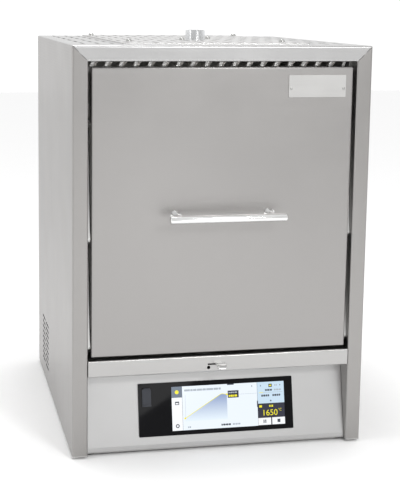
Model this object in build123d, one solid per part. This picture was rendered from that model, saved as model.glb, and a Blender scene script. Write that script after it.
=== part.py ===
from build123d import *
import os
from math import atan, atan2, cos, degrees, hypot, pi, radians, sin, sqrt, tan

# A bench furnace for sintering, whose door lifts on parallel arms. Millimetres.
# X runs to the right as seen from the front, Y to the back and Z up.
# "Depth" is the distance behind the front plane, and it is negative in front of it.

# How far a cutter runs past the face that it opens
overcut = 1.0

# Casing of folded sheet
casing_width = 385.0
casing_depth = 425.0
casing_top = 525.0
foot_drop = 3.0
casing_sheet = 1.2
casing_bend = 2.6
stile_width = 20.0
header_height = 20.0
return_depth = 28.0
header_return = 9.0
rear_flange = 14.0
seam_width = 0.5
seam_weld = 5.0
base_sheet = 1.5
base_notch = 10.0
base_corner = 2.0
foot_diameter = 22.0
foot_inset = 24.0
foot_taper = 1.0
foot_sides = 16

# Slots in the top
slot_length = 40.0
slot_width = 3.4
slot_column_pitch = 19.0
slot_row_pitch = 64.0
slot_first_depth = 73.0
slot_rows = 6
slot_edge_margin = 19.0
slot_clear = 2.0

# Cover plate on the top, and the exhaust through it
cover_half_width = 123.5
cover_front = 45.0
cover_rear = 419.0
cover_sheet = 1.5
cover_corner = 2.0
cover_screw_x_front = 104.5
cover_screw_x_rear = 113.5
cover_screw_front = 105.0
cover_screw_rear = 388.0
screw_radius = 4.0
screw_height = 3.2
head_sides = 12
head_taper = 20.0
exhaust_x = 7.0
exhaust_depth = 200.0
exhaust_diameter = 27.5
exhaust_wall = 1.5
exhaust_rise = 13.0
exhaust_below = 14.0
exhaust_flange_x = 34.0
exhaust_flange_y = 40.0
exhaust_flange_sheet = 2.0
exhaust_screw_x = 25.5
exhaust_screw_y = 30.0
exhaust_tube_diameter = 18.0
exhaust_tube_bore = 12.0
exhaust_tube_gap = 2.0
exhaust_tube_sides = 24
exhaust_collar = 5.0

# Louvres in the sides
side_vent_first_depth = 280.0
side_vent_length = 36.0
side_vent_column_pitch = 45.0
side_vent_columns = 2
side_vent_rows = 9
side_vent_row_pitch = 8.2
side_vent_height = 3.0
side_vent_bottom = 27.0

# Fascia that leans back below the rail
fascia_top = 106.7
fascia_top_depth = 27.0
fascia_foot_depth = 6.0
fascia_foot_top = 11.5
fascia_sheet = 1.2
fascia_bend = 2.2
fascia_flange = 16.0

# Rail below the door
rail_height = 21.5
rail_sheet = 1.2
rail_bend = 2.0
rail_flange = 30.0
side_clearance = 0.3

# Strip of slanted vents above the door
vent_depth = 25.2
vent_sheet = 1.0
vent_bend = 1.8
vent_bottom = 492.0
vent_cell_bottom = 497.4
vent_cell_height = 10.0
vent_cell_width = 14.4
vent_pitch = 18.2
vent_slant = 18.0
vent_flange = 12.0
vent_end = 1.5

# Door
door_side_gap = 4.2
door_bottom_gap = 3.6
door_top_gap = 7.0
door_setback = 3.5
door_thickness = 20.0
door_sheet = 1.2
door_bend = 1.9
liner_sheet = 1.0
liner_inset = 0.6
liner_screw_inset = 9.0
liner_screw_radius = 2.8
liner_screw_height = 1.6

# Handle
handle_length = 150.0
handle_diameter = 10.0
handle_reach = 33.5
handle_z = 312.0
handle_end_chamfer = 1.2
standoff_x = 61.0
standoff_diameter = 8.0
standoff_plate_diameter = 14.0
standoff_plate = 1.2

# Blank plate on the door
plate_width = 75.5
plate_height = 28.0
plate_thickness = 1.0
plate_corner = 0.8
plate_side_margin = 9.8
plate_top_margin = 10.0
plate_screw_inset = 2.9
plate_screw_drop = 17.2
plate_screw_diameter = 3.4
plate_screw_height = 1.0

# Parallel arms that carry the door
arm_spacing = 139.0
arm_closed_angle = 82.0
arm_width = 16.0
arm_sheet = 3.0
arm_gap = 0.3
lower_pin_z = 146.0
door_pin_depth = 15.5
pin_diameter = 7.0
pin_clearance = 0.08
open_pivot_clearance = 0.3
pin_boss = 7.0
pin_boss_radius = 6.0
pin_boss_sides = 6
pin_head = 2.4
pin_head_radius = 6.0
washer_diameter = 13.0
washer_thickness = 0.7
washer_sides = 24
shaft_diameter = 12.0
journal_end = 3.0
bracket_sheet = 3.0
bracket_gap = 1.0
bracket_rear = 62.0
bracket_below = 22.0
bracket_above = 24.0
bracket_clearance = 0.1

# Chamber and its insulation
chamber_width = 110.0
chamber_depth = 120.0
chamber_height = 120.0
chamber_front = 90.0
chamber_floor = 225.0
insulation_front = 66.0
insulation_air = 29.3
insulation_rear_wall = 92.0
insulation_above = 85.0
inner_sheet = 1.0
mouth_sheet = 1.5
mouth_margin = 3.0

# Insulation on the door
collar_width = 200.0
collar_height = 206.0
collar_rear = 62.0
collar_chamfer = 4.0
plug_clearance = 2.5
plug_bevel = 8.0
plug_end_gap = 3.0
gasket_margin = 6.0
gasket_width = 12.0
gasket_gap = 0.3

# Heating elements, hung from the roof
element_x = 46.0
element_depths = (120.0, 180.0)
element_leg_spacing = 25.0
element_hot_radius = 1.5
element_cold_radius = 3.0
element_bottom = 238.0
element_cold_end = 332.0
element_hole_radius = 4.0
element_tail = 5.0
element_sides = 8
element_bend_steps = 6
holder_width = 22.0
holder_length = 46.0
holder_height = 16.0
clamp_size = 12.0
clamp_height = 9.0
strap_width = 9.0
strap_thickness = 1.5

# Thermocouple through the rear wall of the insulation
thermocouple_z = 322.0
thermocouple_diameter = 8.0
thermocouple_in_chamber = 9.0
thermocouple_flange = 3.0
thermocouple_behind = 26.0
thermocouple_head_diameter = 24.0
thermocouple_head_length = 30.0
thermocouple_sides = 16

# Charging plate on the chamber floor
charging_plate_width = 76.0
charging_plate_depth = 104.0
charging_plate_thickness = 5.0
charging_plate_corner = 4.0

# Controller on the fascia
controller_x = -0.9
controller_width = 207.5
controller_height = 68.4
controller_up = 10.0
controller_inset = 5.0
controller_body_depth = 34.0
controller_chamfer = 3.0
glass_thickness = 1.6
glass_corner = 1.0
screen_x = 15.55
screen_width = 152.1
screen_up = 15.7
screen_height = 56.5
screen_recess = 0.1
usb_x = -93.8
usb_width = 11.7
usb_height = 23.7
usb_up = 49.0
usb_rim = 0.8
usb_sink = 0.5
usb_seat = 0.25
usb_cover_thickness = 1.3
usb_lip = 2.0
usb_hinge_radius = 0.9
usb_slot_width = 4.8
usb_slot_height = 12.6
usb_slot_floor = 0.3
usb_tongue = 1.6
usb_lug = 0.9
usb_lip_rise = 1.0
usb_pin_radius = 0.4
usb_pin_clearance = 0.05
usb_cover_gap = 0.15

# Air inlet lever in the rail
lever_slot_centre = -5.8
lever_slot_length = 22.6
lever_slot_height = 2.0
lever_z = 117.0
lever_width = 12.0
lever_travel = 10.0
lever_end_gap = 0.3
lever_sheet = 1.4
lever_straight = 7.0
lever_curl_radius = 7.0
lever_curl_angle = 62.0
lever_corner = 3.5
lever_hole_x = -15.9
lever_hole_z = 112.8
lever_hole_diameter = 4.5
slide_width = 46.0
slide_front = 5.0
slide_rear = 52.0
guide_gap = 0.2
guide_sheet = 1.5
guide_lip = 14.0
duct_x = -10.0
duct_front = 34.0
duct_width = 9.0
duct_length = 13.0
duct_wall = 1.2

# Shelf over the base compartment
divider_z = 138.5
divider_sheet = 1.2
divider_side_gap = 4.5
divider_front = 32.0
divider_leg_front = 46.0
divider_rear = 400.0
divider_foot = 14.0
divider_bend = 2.0

# Transformer, power unit and board in the base compartment
core_side_gap = 18.0
core_depth = 150.0
core_width = 110.0
core_height = 92.0
core_stack = 48.0
core_limb = 28.0
core_lift = 2.0
core_foot = 6.0
coil_gap = 1.0
coil_corner = 8.0
sink_side_gap = 24.0
sink_depth = 270.0
sink_width = 78.0
sink_length = 90.0
sink_base = 6.0
sink_fin = 2.0
sink_fin_height = 22.0
sink_fins = 9
module_width = 44.0
module_length = 58.0
module_height = 26.0
module_chamfer = 3.0
module_screw_radius = 3.0
module_screw_height = 1.8
module_screw_x = 11.0
module_screw_y = 19.0
board_side_gap = 21.0
board_depth = 270.0
board_width = 84.0
board_length = 120.0
board_thickness = 1.6
board_lift = 8.0
board_hole_inset = 6.0
board_post_radius = 3.0
board_post_sides = 6
relay_size = 16.0
relay_count = 3
relay_first = 12.0
relay_pitch = 25.6
relay_inset = 14.0
capacitor_inset = 48.0
capacitor_radius = 8.0
capacitor_height = 22.4
capacitor_sides = 16

# Rear wall and its fittings
rear_sheet = 1.2
rear_margin = 3.0
rear_screw_inset = 30.0
rear_screw_radius = 3.4
rear_screw_height = 1.8
rear_louvre_rows = 8
rear_louvre_columns = 2
rear_louvre_length = 110.0
rear_louvre_height = 3.4
rear_louvre_pitch = 12.0
rear_louvre_bottom = 330.0
rear_louvre_spacing = 150.0
fan_side_gap = 82.5
fan_z = 62.0
fan_size = 50.0
fan_depth = 15.0
fan_bore = 46.0
fan_hub = 20.0
fan_corner = 3.0
fan_blades = 5
fan_pitch = 38.0
fan_vane = 1.4
fan_tip_gap = 1.0
fan_web = 1.5
fan_strut = 3.0
fan_struts = 3
fan_rear_gap = 0.8
fan_shaft_radius = 1.5
guard_wire = 1.6
guard_rings = 3
guard_sides = 24
guard_spoke_angles = (45, 135)
guard_ear = 7.0
guard_ear_radius = 4.0
guard_ear_sides = 8
inlet_side_gap = 64.5
inlet_z = 52.0
inlet_width = 27.0
inlet_height = 19.5
inlet_flange_width = 48.0
inlet_flange_height = 25.0
inlet_flange = 2.5
inlet_corner = 3.0
inlet_depth = 24.0
inlet_recess = 17.0
inlet_recess_width = 22.0
inlet_recess_height = 14.0
inlet_pin = 11.0
inlet_pin_thick = 2.0
inlet_pin_height = 4.0
inlet_pin_pitch = 7.0
inlet_pin_rise = 3.0
switch_z = 84.0
switch_width = 27.0
switch_height = 19.5
switch_body_depth = 22.0
switch_flange = 2.0
switch_rim = 1.8
switch_well = 9.0
switch_play = 0.25
switch_angle = 12.0
rocker_pivot = 2.5
rocker_depth = 5.0
rocker_root = 3.5
rocker_pin_radius = 1.2
rocker_pin_length = 1.2
rocker_crown = 1.2
rocker_waist = 0.6

# Places worked out from the sizes above
half_width = casing_width / 2
casing_floor = foot_drop + base_sheet
opening_half = half_width - stile_width
inner_half = half_width - casing_sheet
inner_top = casing_top - casing_sheet
header_z = casing_top - header_height
rear_face = casing_depth - rear_sheet
rocker_axis = casing_depth + switch_flange - rocker_pivot
cover_z = casing_top + cover_sheet
rail_top = fascia_top + rail_height
door_half = opening_half - door_side_gap
door_bottom = rail_top + door_bottom_gap
door_top = header_z - door_top_gap
door_rear = door_setback + door_thickness
handle_depth = handle_diameter / 2 - handle_reach
fascia_lean = atan((fascia_top_depth - fascia_foot_depth) / (fascia_top - fascia_foot_top))
fascia_plane = Plane(
    origin=(0, fascia_foot_depth, fascia_foot_top),
    x_dir=(1, 0, 0),
    z_dir=(0, -cos(fascia_lean), sin(fascia_lean)),
)
arm_length = arm_spacing / sin(radians(arm_closed_angle))
fixed_pin_depth = door_pin_depth + arm_length * cos(radians(arm_closed_angle))
middle_pin_z = lower_pin_z + arm_spacing
upper_pin_z = middle_pin_z + arm_spacing
arm_outer = opening_half - arm_gap
arm_inner = arm_outer - arm_sheet
bracket_inner = opening_half + bracket_clearance
chamber_rear = chamber_front + chamber_depth
chamber_roof = chamber_floor + chamber_height
insulation_half = inner_half - inner_sheet - insulation_air
insulation_end = chamber_rear + insulation_rear_wall
insulation_top = chamber_roof + insulation_above
mouth_front = insulation_front - mouth_sheet
divider_top = divider_z + divider_sheet
divider_half = opening_half - divider_side_gap
core_x = divider_half - core_side_gap - core_width / 2
board_x = board_side_gap + board_width / 2 - divider_half
sink_x = board_x + board_width / 2 + sink_side_gap + sink_width / 2
fan_x = fan_side_gap - half_width
inlet_x = half_width - inlet_side_gap
collar_bottom = (chamber_floor + chamber_roof - collar_height) / 2
collar_top = collar_bottom + collar_height
holder_top = insulation_top + holder_height
clamp_top = holder_top + clamp_height
strap_top = clamp_top + strap_thickness
element_top = strap_top + element_tail
stub_bottom = inner_top - exhaust_below


# Shapes used again and again
def block(left, right, front, rear, low, high):
    centre = Pos((left + right) / 2, (front + rear) / 2, (low + high) / 2)
    return centre * Box(right - left, rear - front, high - low)


def rod_x(left, right, depth, z, radius):
    return Pos((left + right) / 2, depth, z) * Rot(0, 90, 0) * Cylinder(radius, right - left)


def rod_y(x, front, rear, z, radius):
    return Pos(x, (front + rear) / 2, z) * Rot(90, 0, 0) * Cylinder(radius, rear - front)


def rod_z(x, depth, low, high, radius):
    return Pos(x, depth, (low + high) / 2) * Cylinder(radius, high - low)


def bar(length, radius, sides):
    # A bar of flat sides, drawn round a circle of this radius
    section = RegularPolygon(radius, sides, major_radius=False)
    return Pos(0, 0, -length / 2) * extrude(section, length)


def bar_x(left, right, depth, z, radius, sides):
    return Pos((left + right) / 2, depth, z) * Rot(0, 90, 0) * bar(right - left, radius, sides)


def bar_y(x, front, rear, z, radius, sides):
    return Pos(x, (front + rear) / 2, z) * Rot(90, 0, 0) * bar(rear - front, radius, sides)


def bar_z(x, depth, low, high, radius, sides):
    return Pos(x, depth, (low + high) / 2) * bar(high - low, radius, sides)


def mirrored(shape):
    return mirror(shape, about=Plane.YZ)


def group(shapes):
    return Compound(list(shapes))


def both_sides(shape):
    return group([shape, mirrored(shape)])


def side_plane(left):
    # Sections are drawn as (depth, z) on this plane and drawn out to the right
    return Plane(origin=(left, 0, 0), x_dir=(0, 1, 0), z_dir=(1, 0, 0))


def folded(points, sheet, bend, plane, length, inner_side):
    outline = FilletPolyline(*points, radius=bend)
    strip = offset(outline, amount=sheet, side=inner_side)
    return extrude(plane * make_face(strip.edges()), length)


def heads(points, turn, radius, height):
    # Screw heads that draw in towards the top
    head = extrude(RegularPolygon(radius, head_sides), height, taper=head_taper)
    return [Pos(*point) * turn * head for point in points]


facing_up = Rot(0, 0, 0)
facing_back = Rot(-90, 0, 0)
facing_front = Rot(90, 0, 0)


# Casing
def rounded_outline():
    body = block(-half_width, half_width, 0, casing_depth, casing_floor, casing_top)
    top_edges = body.edges().filter_by(Axis.Y).group_by(Axis.Z)[-1]
    return fillet(top_edges, casing_bend)


def side_of_mitre():
    # Everything to the right of a 45 degree plane through the casing's top right edge
    corner = Polyline(
        (half_width, casing_top),
        (half_width - casing_top, 0),
        (half_width, 0),
        close=True,
    )
    wedge = extrude(Plane.XZ * make_face(corner), -casing_depth)
    return wedge


def mitre_slots():
    # The open seam between stile and header, with a weld left across its middle
    diagonal = hypot(stile_width, header_height)
    stretch = (diagonal - seam_weld) / 2
    tilt = degrees(atan(header_height / stile_width))
    centre = Pos(half_width - stile_width / 2, 0, casing_top - header_height / 2) * Rot(0, -tilt, 0)
    return [
        centre * Pos(side * (seam_weld + stretch) / 2, 0, 0) * Box(stretch, 3 * casing_sheet, seam_width)
        for side in (-1, 1)
    ]


def side_vents():
    cuts = []
    for column in range(side_vent_columns):
        front = side_vent_first_depth + column * side_vent_column_pitch
        for row in range(side_vent_rows):
            low = side_vent_bottom + row * side_vent_row_pitch
            rear = front + side_vent_length
            high = low + side_vent_height
            cuts.append(block(inner_half - overcut, half_width + overcut, front, rear, low, high))
    return cuts


def side_panel():
    points = [
        (half_width - rear_flange, rear_face),
        (half_width, rear_face),
        (half_width, 0),
        (opening_half, 0),
        (opening_half, return_depth),
    ]
    floor_plane = Plane.XY.offset(casing_floor)
    panel = folded(points, casing_sheet, casing_bend, floor_plane, casing_top - casing_floor, Side.RIGHT)
    panel = panel & rounded_outline() & side_of_mitre()
    return panel - mitre_slots() - side_vents()


def slot_columns():
    reach = half_width - slot_edge_margin
    columns = int(2 * reach / slot_column_pitch) + 1
    first = -(columns - 1) / 2 * slot_column_pitch
    return [first + column * slot_column_pitch for column in range(columns)]


def top_obstacles():
    obstacles = [(exhaust_x, exhaust_depth, exhaust_diameter / 2 + slot_clear)]
    obstacles += [(x, depth, screw_radius + slot_clear) for x, depth in top_screw_places()]
    return obstacles


def clear_of(x, front, rear, obstacles):
    # A slot is left out where the exhaust or a screw stands
    for other_x, other_depth, radius in obstacles:
        across = abs(x - other_x) - slot_width / 2
        along = max(front - other_depth, other_depth - rear)
        if max(across, along) < radius:
            return False
    return True


def slot_runs(x, joined):
    # The slots of one column from front to rear; joined slots run on into the next row
    obstacles = top_obstacles()
    runs = []
    for row in range(slot_rows):
        front = slot_first_depth + row * slot_row_pitch - slot_length / 2
        rear = front + slot_length
        if not clear_of(x, front, rear, obstacles):
            continue
        if joined and runs and clear_of(x, runs[-1][0], rear, obstacles):
            runs[-1] = (runs[-1][0], rear)
        else:
            runs.append((front, rear))
    return runs


def slot_cuts(x, joined, low, high):
    left = x - slot_width / 2
    return [block(left, left + slot_width, front, rear, low, high) for front, rear in slot_runs(x, joined)]


def top_screw_places():
    places = []
    for side in (-1, 1):
        places.append((side * cover_screw_x_front, cover_screw_front))
        places.append((side * cover_screw_x_rear, cover_screw_rear))
        places.append((exhaust_x + side * exhaust_screw_x, exhaust_depth + side * exhaust_screw_y))
    return places


def exhaust_hole(low, high):
    return rod_z(exhaust_x, exhaust_depth, low, high, exhaust_diameter / 2)


def top_cover():
    points = [
        (rear_face, casing_top - rear_flange),
        (rear_face, casing_top),
        (0, casing_top),
        (0, header_z),
        (header_return, header_z),
    ]
    plane = side_plane(-half_width)
    cover = folded(points, casing_sheet, casing_bend, plane, casing_width, Side.LEFT)
    cover = cover & rounded_outline()
    cover = cover - side_of_mitre() - mirrored(side_of_mitre())
    for cut in mitre_slots():
        cover = cover - cut - mirrored(cut)
    low = inner_top - overcut
    high = casing_top + overcut
    slots = []
    for x in slot_columns():
        slots += slot_cuts(x, abs(x) < cover_half_width, low, high)
    return cover - slots - exhaust_hole(low, high)


def top_cover_plate():
    plate = block(-cover_half_width, cover_half_width, cover_front, cover_rear, casing_top, cover_z)
    corners = plate.edges().filter_by(Axis.Z)
    plate = fillet(corners, cover_corner)
    low = casing_top - overcut
    high = cover_z + overcut
    slots = []
    for x in slot_columns():
        if abs(x) < cover_half_width - slot_width:
            slots += slot_cuts(x, False, low, high)
    return plate - slots - exhaust_hole(low, high)


def rear_screw_places():
    places = []
    for side in (-1, 1):
        for z in (casing_floor + rear_screw_inset, casing_top / 2, casing_top - rear_screw_inset):
            places.append((side * (half_width - rear_flange / 2), z))
    return places


def casing_screws():
    top = [(x, depth, cover_z) for x, depth in top_screw_places()]
    rear = [(x, casing_depth, z) for x, z in rear_screw_places()]
    return group(
        heads(top, facing_up, screw_radius, screw_height)
        + heads(rear, facing_back, rear_screw_radius, rear_screw_height)
    )


def rear_louvres():
    cuts = []
    for column in range(rear_louvre_columns):
        x = (column - (rear_louvre_columns - 1) / 2) * rear_louvre_spacing
        for row in range(rear_louvre_rows):
            low = rear_louvre_bottom + row * rear_louvre_pitch
            high = low + rear_louvre_height
            left = x - rear_louvre_length / 2
            right = left + rear_louvre_length
            cuts.append(block(left, right, rear_face - overcut, casing_depth + overcut, low, high))
    return cuts


def rear_panel():
    half = half_width - rear_margin
    panel = block(-half, half, rear_face, casing_depth, casing_floor, casing_top - rear_margin)
    front = rear_face - overcut
    back = casing_depth + overcut
    panel = panel - rod_y(fan_x, front, back, fan_z, fan_bore / 2)
    panel = panel - block(
        inlet_x - inlet_width / 2, inlet_x + inlet_width / 2, front, back,
        inlet_z - inlet_height / 2, inlet_z + inlet_height / 2,
    )
    panel = panel - block(
        inlet_x - switch_width / 2, inlet_x + switch_width / 2, front, back,
        switch_z - switch_height / 2, switch_z + switch_height / 2,
    )
    return panel - rear_louvres()


def base_plate():
    plate = block(-half_width, half_width, 0, rear_face, foot_drop, casing_floor)
    notch_half = opening_half + casing_sheet
    notch = block(-notch_half, notch_half, -overcut, base_notch, foot_drop - overcut, casing_floor + overcut)
    plate = plate - notch
    corners = plate.edges().filter_by(Axis.Z).group_by(Axis.Y)[0]
    return fillet(corners, base_corner)


def feet():
    places = []
    for side in (-1, 1):
        for depth in (foot_inset, casing_depth - foot_inset):
            places.append((side * (half_width - foot_inset), depth))
    flare = degrees(atan(foot_taper / foot_drop))
    foot = extrude(RegularPolygon(foot_diameter / 2 - foot_taper, foot_sides), foot_drop, taper=-flare)
    return group([Pos(x, depth, 0) * foot for x, depth in places])


# Front rail, fascia and vent strip
def front_rail():
    half = opening_half - side_clearance
    points = [(rail_flange, fascia_top), (0, fascia_top), (0, rail_top), (rail_flange, rail_top)]
    rail = folded(points, rail_sheet, rail_bend, side_plane(-half), 2 * half, Side.RIGHT)
    left = lever_slot_centre - lever_slot_length / 2
    low = lever_z - lever_slot_height / 2
    slot = block(left, left + lever_slot_length, -overcut, rail_sheet + overcut, low, low + lever_slot_height)
    hole = rod_y(lever_hole_x, -overcut, rail_sheet + overcut, lever_hole_z, lever_hole_diameter / 2)
    return rail - slot - hole


def on_fascia(x, up, out):
    return fascia_plane * Pos(x, up, out)


def fascia_block(x, up, width, height, back, front):
    # A box on the fascia, centred at x, standing on "up" and running from back to front
    return on_fascia(x, up + height / 2, (back + front) / 2) * Box(width, height, front - back)


def control_fascia():
    half = opening_half - side_clearance
    points = [
        (fascia_foot_depth + fascia_flange, casing_floor),
        (fascia_foot_depth, casing_floor),
        (fascia_foot_depth, fascia_foot_top),
        (fascia_top_depth, fascia_top),
        (fascia_top_depth + fascia_flange, fascia_top),
    ]
    fascia = folded(points, fascia_sheet, fascia_bend, side_plane(-half), 2 * half, Side.RIGHT)
    inset = controller_inset
    width = controller_width - 2 * inset
    height = controller_height - 2 * inset
    window = fascia_block(controller_x, controller_up + inset, width, height, -3 * fascia_sheet, fascia_sheet)
    return fascia - window


def vent_strip():
    half = opening_half - side_clearance
    points = [(vent_depth, vent_bottom), (vent_depth, inner_top), (vent_depth + vent_flange, inner_top)]
    strip = folded(points, vent_sheet, vent_bend, side_plane(-half), 2 * half, Side.RIGHT)
    cells = int(2 * half / vent_pitch) + 2
    lean = vent_cell_height * tan(radians(vent_slant))
    reach = half - vent_end
    between = block(-reach, reach, 0, casing_depth, vent_bottom, inner_top)
    cuts = []
    for cell in range(cells):
        x = (cell - (cells - 1) / 2) * vent_pitch
        low = vent_cell_bottom
        high = low + vent_cell_height
        corners = [
            (x - (vent_cell_width + lean) / 2, low),
            (x + (vent_cell_width - lean) / 2, low),
            (x + (vent_cell_width + lean) / 2, high),
            (x - (vent_cell_width - lean) / 2, high),
        ]
        face = make_face(Polyline(*corners, close=True))
        cell_cut = extrude(Plane.XZ.offset(-(vent_depth - overcut)) * face, -(vent_sheet + 2 * overcut))
        cuts.append(cell_cut & between)
    return strip - cuts


# Door
def door_skin():
    pan = block(-door_half, door_half, door_setback, door_rear, door_bottom, door_top)
    pan = fillet(pan.faces().sort_by(Axis.Y)[0].edges(), door_bend)
    half = door_half - door_sheet
    low = door_bottom + door_sheet
    high = door_top - door_sheet
    hollow = block(-half, half, door_setback + door_sheet, door_rear + overcut, low, high)
    pan = pan - fillet(hollow.faces().sort_by(Axis.Y)[0].edges(), door_bend - door_sheet)
    for z in (lower_pin_z, middle_pin_z):
        pan = pan - rod_x(-half_width, half_width, door_pin_depth, z, pin_diameter / 2)
    return pan


def door_liner():
    half = door_half - door_sheet
    rear = door_rear - liner_inset
    return block(-half, half, rear - liner_sheet, rear, door_bottom + door_sheet, door_top - door_sheet)


def door_insulation():
    half = collar_width / 2
    slab = block(-half, half, door_rear - liner_inset, collar_rear, collar_bottom, collar_top)
    rim = slab.faces().sort_by(Axis.Y)[-1].edges()
    return chamfer(rim, collar_chamfer)


def door_plug():
    middle = (chamber_floor + chamber_roof) / 2
    width = chamber_width - 2 * plug_clearance
    height = chamber_height - 2 * plug_clearance
    length = chamber_front - plug_end_gap - collar_rear
    start = Plane(origin=(0, collar_rear, middle), x_dir=(1, 0, 0), z_dir=(0, 1, 0))
    return extrude(start * Rectangle(width, height), length, taper=degrees(atan(plug_bevel / length)))


def frame_around(front, rear, inner_margin, width):
    # A flat ring round the mouth of the chamber
    inner_x = chamber_width / 2 + inner_margin
    low = chamber_floor - inner_margin
    high = chamber_roof + inner_margin
    ring = block(-inner_x - width, inner_x + width, front, rear, low - width, high + width)
    return ring - block(-inner_x, inner_x, front - overcut, rear + overcut, low, high)


def door_gasket():
    return frame_around(collar_rear, mouth_front - gasket_gap, gasket_margin, gasket_width)


def door_pins():
    pins = []
    for z in (lower_pin_z, middle_pin_z):
        wall = door_half - door_sheet
        pin = rod_x(wall - pin_boss, arm_outer, door_pin_depth, z, pin_diameter / 2)
        boss = bar_x(wall - pin_boss, wall, door_pin_depth, z, pin_boss_radius, pin_boss_sides)
        pins += [pin + boss, mirrored(pin + boss)]
    return group(pins)


def friction_washers():
    washers = []
    for z in (lower_pin_z, middle_pin_z):
        outer = door_half + washer_thickness
        disc = bar_x(door_half, outer, door_pin_depth, z, washer_diameter / 2, washer_sides)
        washer = disc - bar_x(0, arm_outer, door_pin_depth, z, pin_diameter / 2, washer_sides)
        washers += [washer, mirrored(washer)]
    return group(washers)


def handle_bar():
    half = handle_length / 2
    bar = rod_x(-half, half, handle_depth, handle_z, handle_diameter / 2)
    rims = bar.edges().filter_by(GeomType.CIRCLE)
    return chamfer(rims, handle_end_chamfer)


def handle_standoffs():
    bar = rod_x(-handle_length, handle_length, handle_depth, handle_z, handle_diameter / 2)
    post = rod_y(standoff_x, handle_depth, door_setback, handle_z, standoff_diameter / 2) - bar
    front = door_setback - standoff_plate
    foot = rod_y(standoff_x, front, door_setback, handle_z, standoff_plate_diameter / 2)
    return both_sides(post + foot)


def blank_plate():
    right = door_half - plate_side_margin
    high = door_top - plate_top_margin
    plate = block(
        right - plate_width, right, door_setback - plate_thickness, door_setback, high - plate_height, high
    )
    return fillet(plate.edges().filter_by(Axis.Y), plate_corner)


def door_screws():
    right = door_half - plate_side_margin - plate_screw_inset
    left = right - plate_width + 2 * plate_screw_inset
    z = door_top - plate_top_margin - plate_screw_drop
    front = [(x, door_setback - plate_thickness, z) for x in (left, right)]
    inset_x = door_half - liner_screw_inset
    rear = []
    for side in (-1, 1):
        for z in (door_bottom + liner_screw_inset, door_top - liner_screw_inset):
            rear.append((side * inset_x, door_rear - liner_inset, z))
    return group(
        heads(front, facing_front, plate_screw_diameter / 2, plate_screw_height)
        + heads(rear, facing_back, liner_screw_radius, liner_screw_height)
    )


# Parallel arms
def arm_plate(fixed_z):
    angle = degrees(atan2(-arm_spacing, door_pin_depth - fixed_pin_depth))
    middle_depth = (door_pin_depth + fixed_pin_depth) / 2
    plane = side_plane(arm_inner)
    turned = Pos(middle_depth, fixed_z - arm_spacing / 2) * Rot(0, 0, angle)
    return extrude(plane * turned * SlotCenterToCenter(arm_length, arm_width), arm_sheet)


def arm_hole(depth, z, clearance):
    return rod_x(arm_inner - overcut, arm_outer + overcut, depth, z, pin_diameter / 2 + clearance)


def upper_lift_arms():
    arm = arm_plate(upper_pin_z) - arm_hole(fixed_pin_depth, upper_pin_z, 0)
    return both_sides(arm - arm_hole(door_pin_depth, middle_pin_z, pin_clearance))


def lower_lift_arms():
    arm = arm_plate(middle_pin_z) - arm_hole(fixed_pin_depth, middle_pin_z, pin_clearance)
    return both_sides(arm - arm_hole(door_pin_depth, lower_pin_z, open_pivot_clearance))


def lift_shaft():
    end = bracket_inner + bracket_sheet + journal_end
    shaft = rod_x(-arm_inner, arm_inner, fixed_pin_depth, upper_pin_z, shaft_diameter / 2)
    return shaft + rod_x(-end, end, fixed_pin_depth, upper_pin_z, pin_diameter / 2)


def lift_brackets():
    # An angle on each side carries the shaft and the fixed pin of the lower arm
    outer = bracket_inner + bracket_sheet
    front = return_depth + bracket_gap
    low = middle_pin_z - bracket_below
    high = upper_pin_z + bracket_above
    web = block(bracket_inner, outer, front, bracket_rear, low, high)
    flange = block(bracket_inner, inner_half, bracket_rear - bracket_sheet, bracket_rear, low, high)
    bore = pin_diameter / 2 + pin_clearance
    bracket = web + flange - rod_x(0, half_width, fixed_pin_depth, upper_pin_z, bore)
    shoulder = arm_inner - arm_gap
    pin = rod_x(shoulder, outer, fixed_pin_depth, middle_pin_z, pin_diameter / 2)
    head = rod_x(shoulder - pin_head, shoulder, fixed_pin_depth, middle_pin_z, pin_head_radius)
    return both_sides(bracket + pin + head)


# Chamber
def mouth_frame():
    # Four strips of sheet round the mouth
    inner_x = chamber_width / 2 + mouth_margin
    low = chamber_floor - mouth_margin
    high = chamber_roof + mouth_margin
    upright = block(inner_x, insulation_half, mouth_front, insulation_front, divider_top, insulation_top)
    below = block(-inner_x, inner_x, mouth_front, insulation_front, divider_top, low)
    above = block(-inner_x, inner_x, mouth_front, insulation_front, high, insulation_top)
    return group([upright, mirrored(upright), below, above])


def insulation_slab(low, high):
    return block(-insulation_half, insulation_half, insulation_front, insulation_end, low, high)


def insulation_floor():
    return insulation_slab(divider_top, chamber_floor)


def element_legs():
    for side in (-1, 1):
        for middle in element_depths:
            for step in (-1, 1):
                yield side * element_x, middle + step * element_leg_spacing / 2


def insulation_roof():
    slab = insulation_slab(chamber_roof, insulation_top)
    low = chamber_roof - overcut
    high = insulation_top + overcut
    half = element_leg_spacing / 2 + element_hole_radius
    for side in (-1, 1):
        for middle in element_depths:
            left = side * element_x - element_hole_radius
            slab = slab - block(left, left + 2 * element_hole_radius, middle - half, middle + half, low, high)
    return slab - bar_z(exhaust_x, exhaust_depth, low, high, exhaust_tube_diameter / 2, exhaust_tube_sides)


def insulation_sides():
    slab = block(
        chamber_width / 2, insulation_half, insulation_front, insulation_end, chamber_floor, chamber_roof
    )
    return both_sides(slab)


def insulation_back():
    half = chamber_width / 2
    slab = block(-half, half, chamber_rear, insulation_end, chamber_floor, chamber_roof)
    return slab - thermocouple_bar(chamber_rear - overcut, insulation_end + overcut, thermocouple_diameter)


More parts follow.
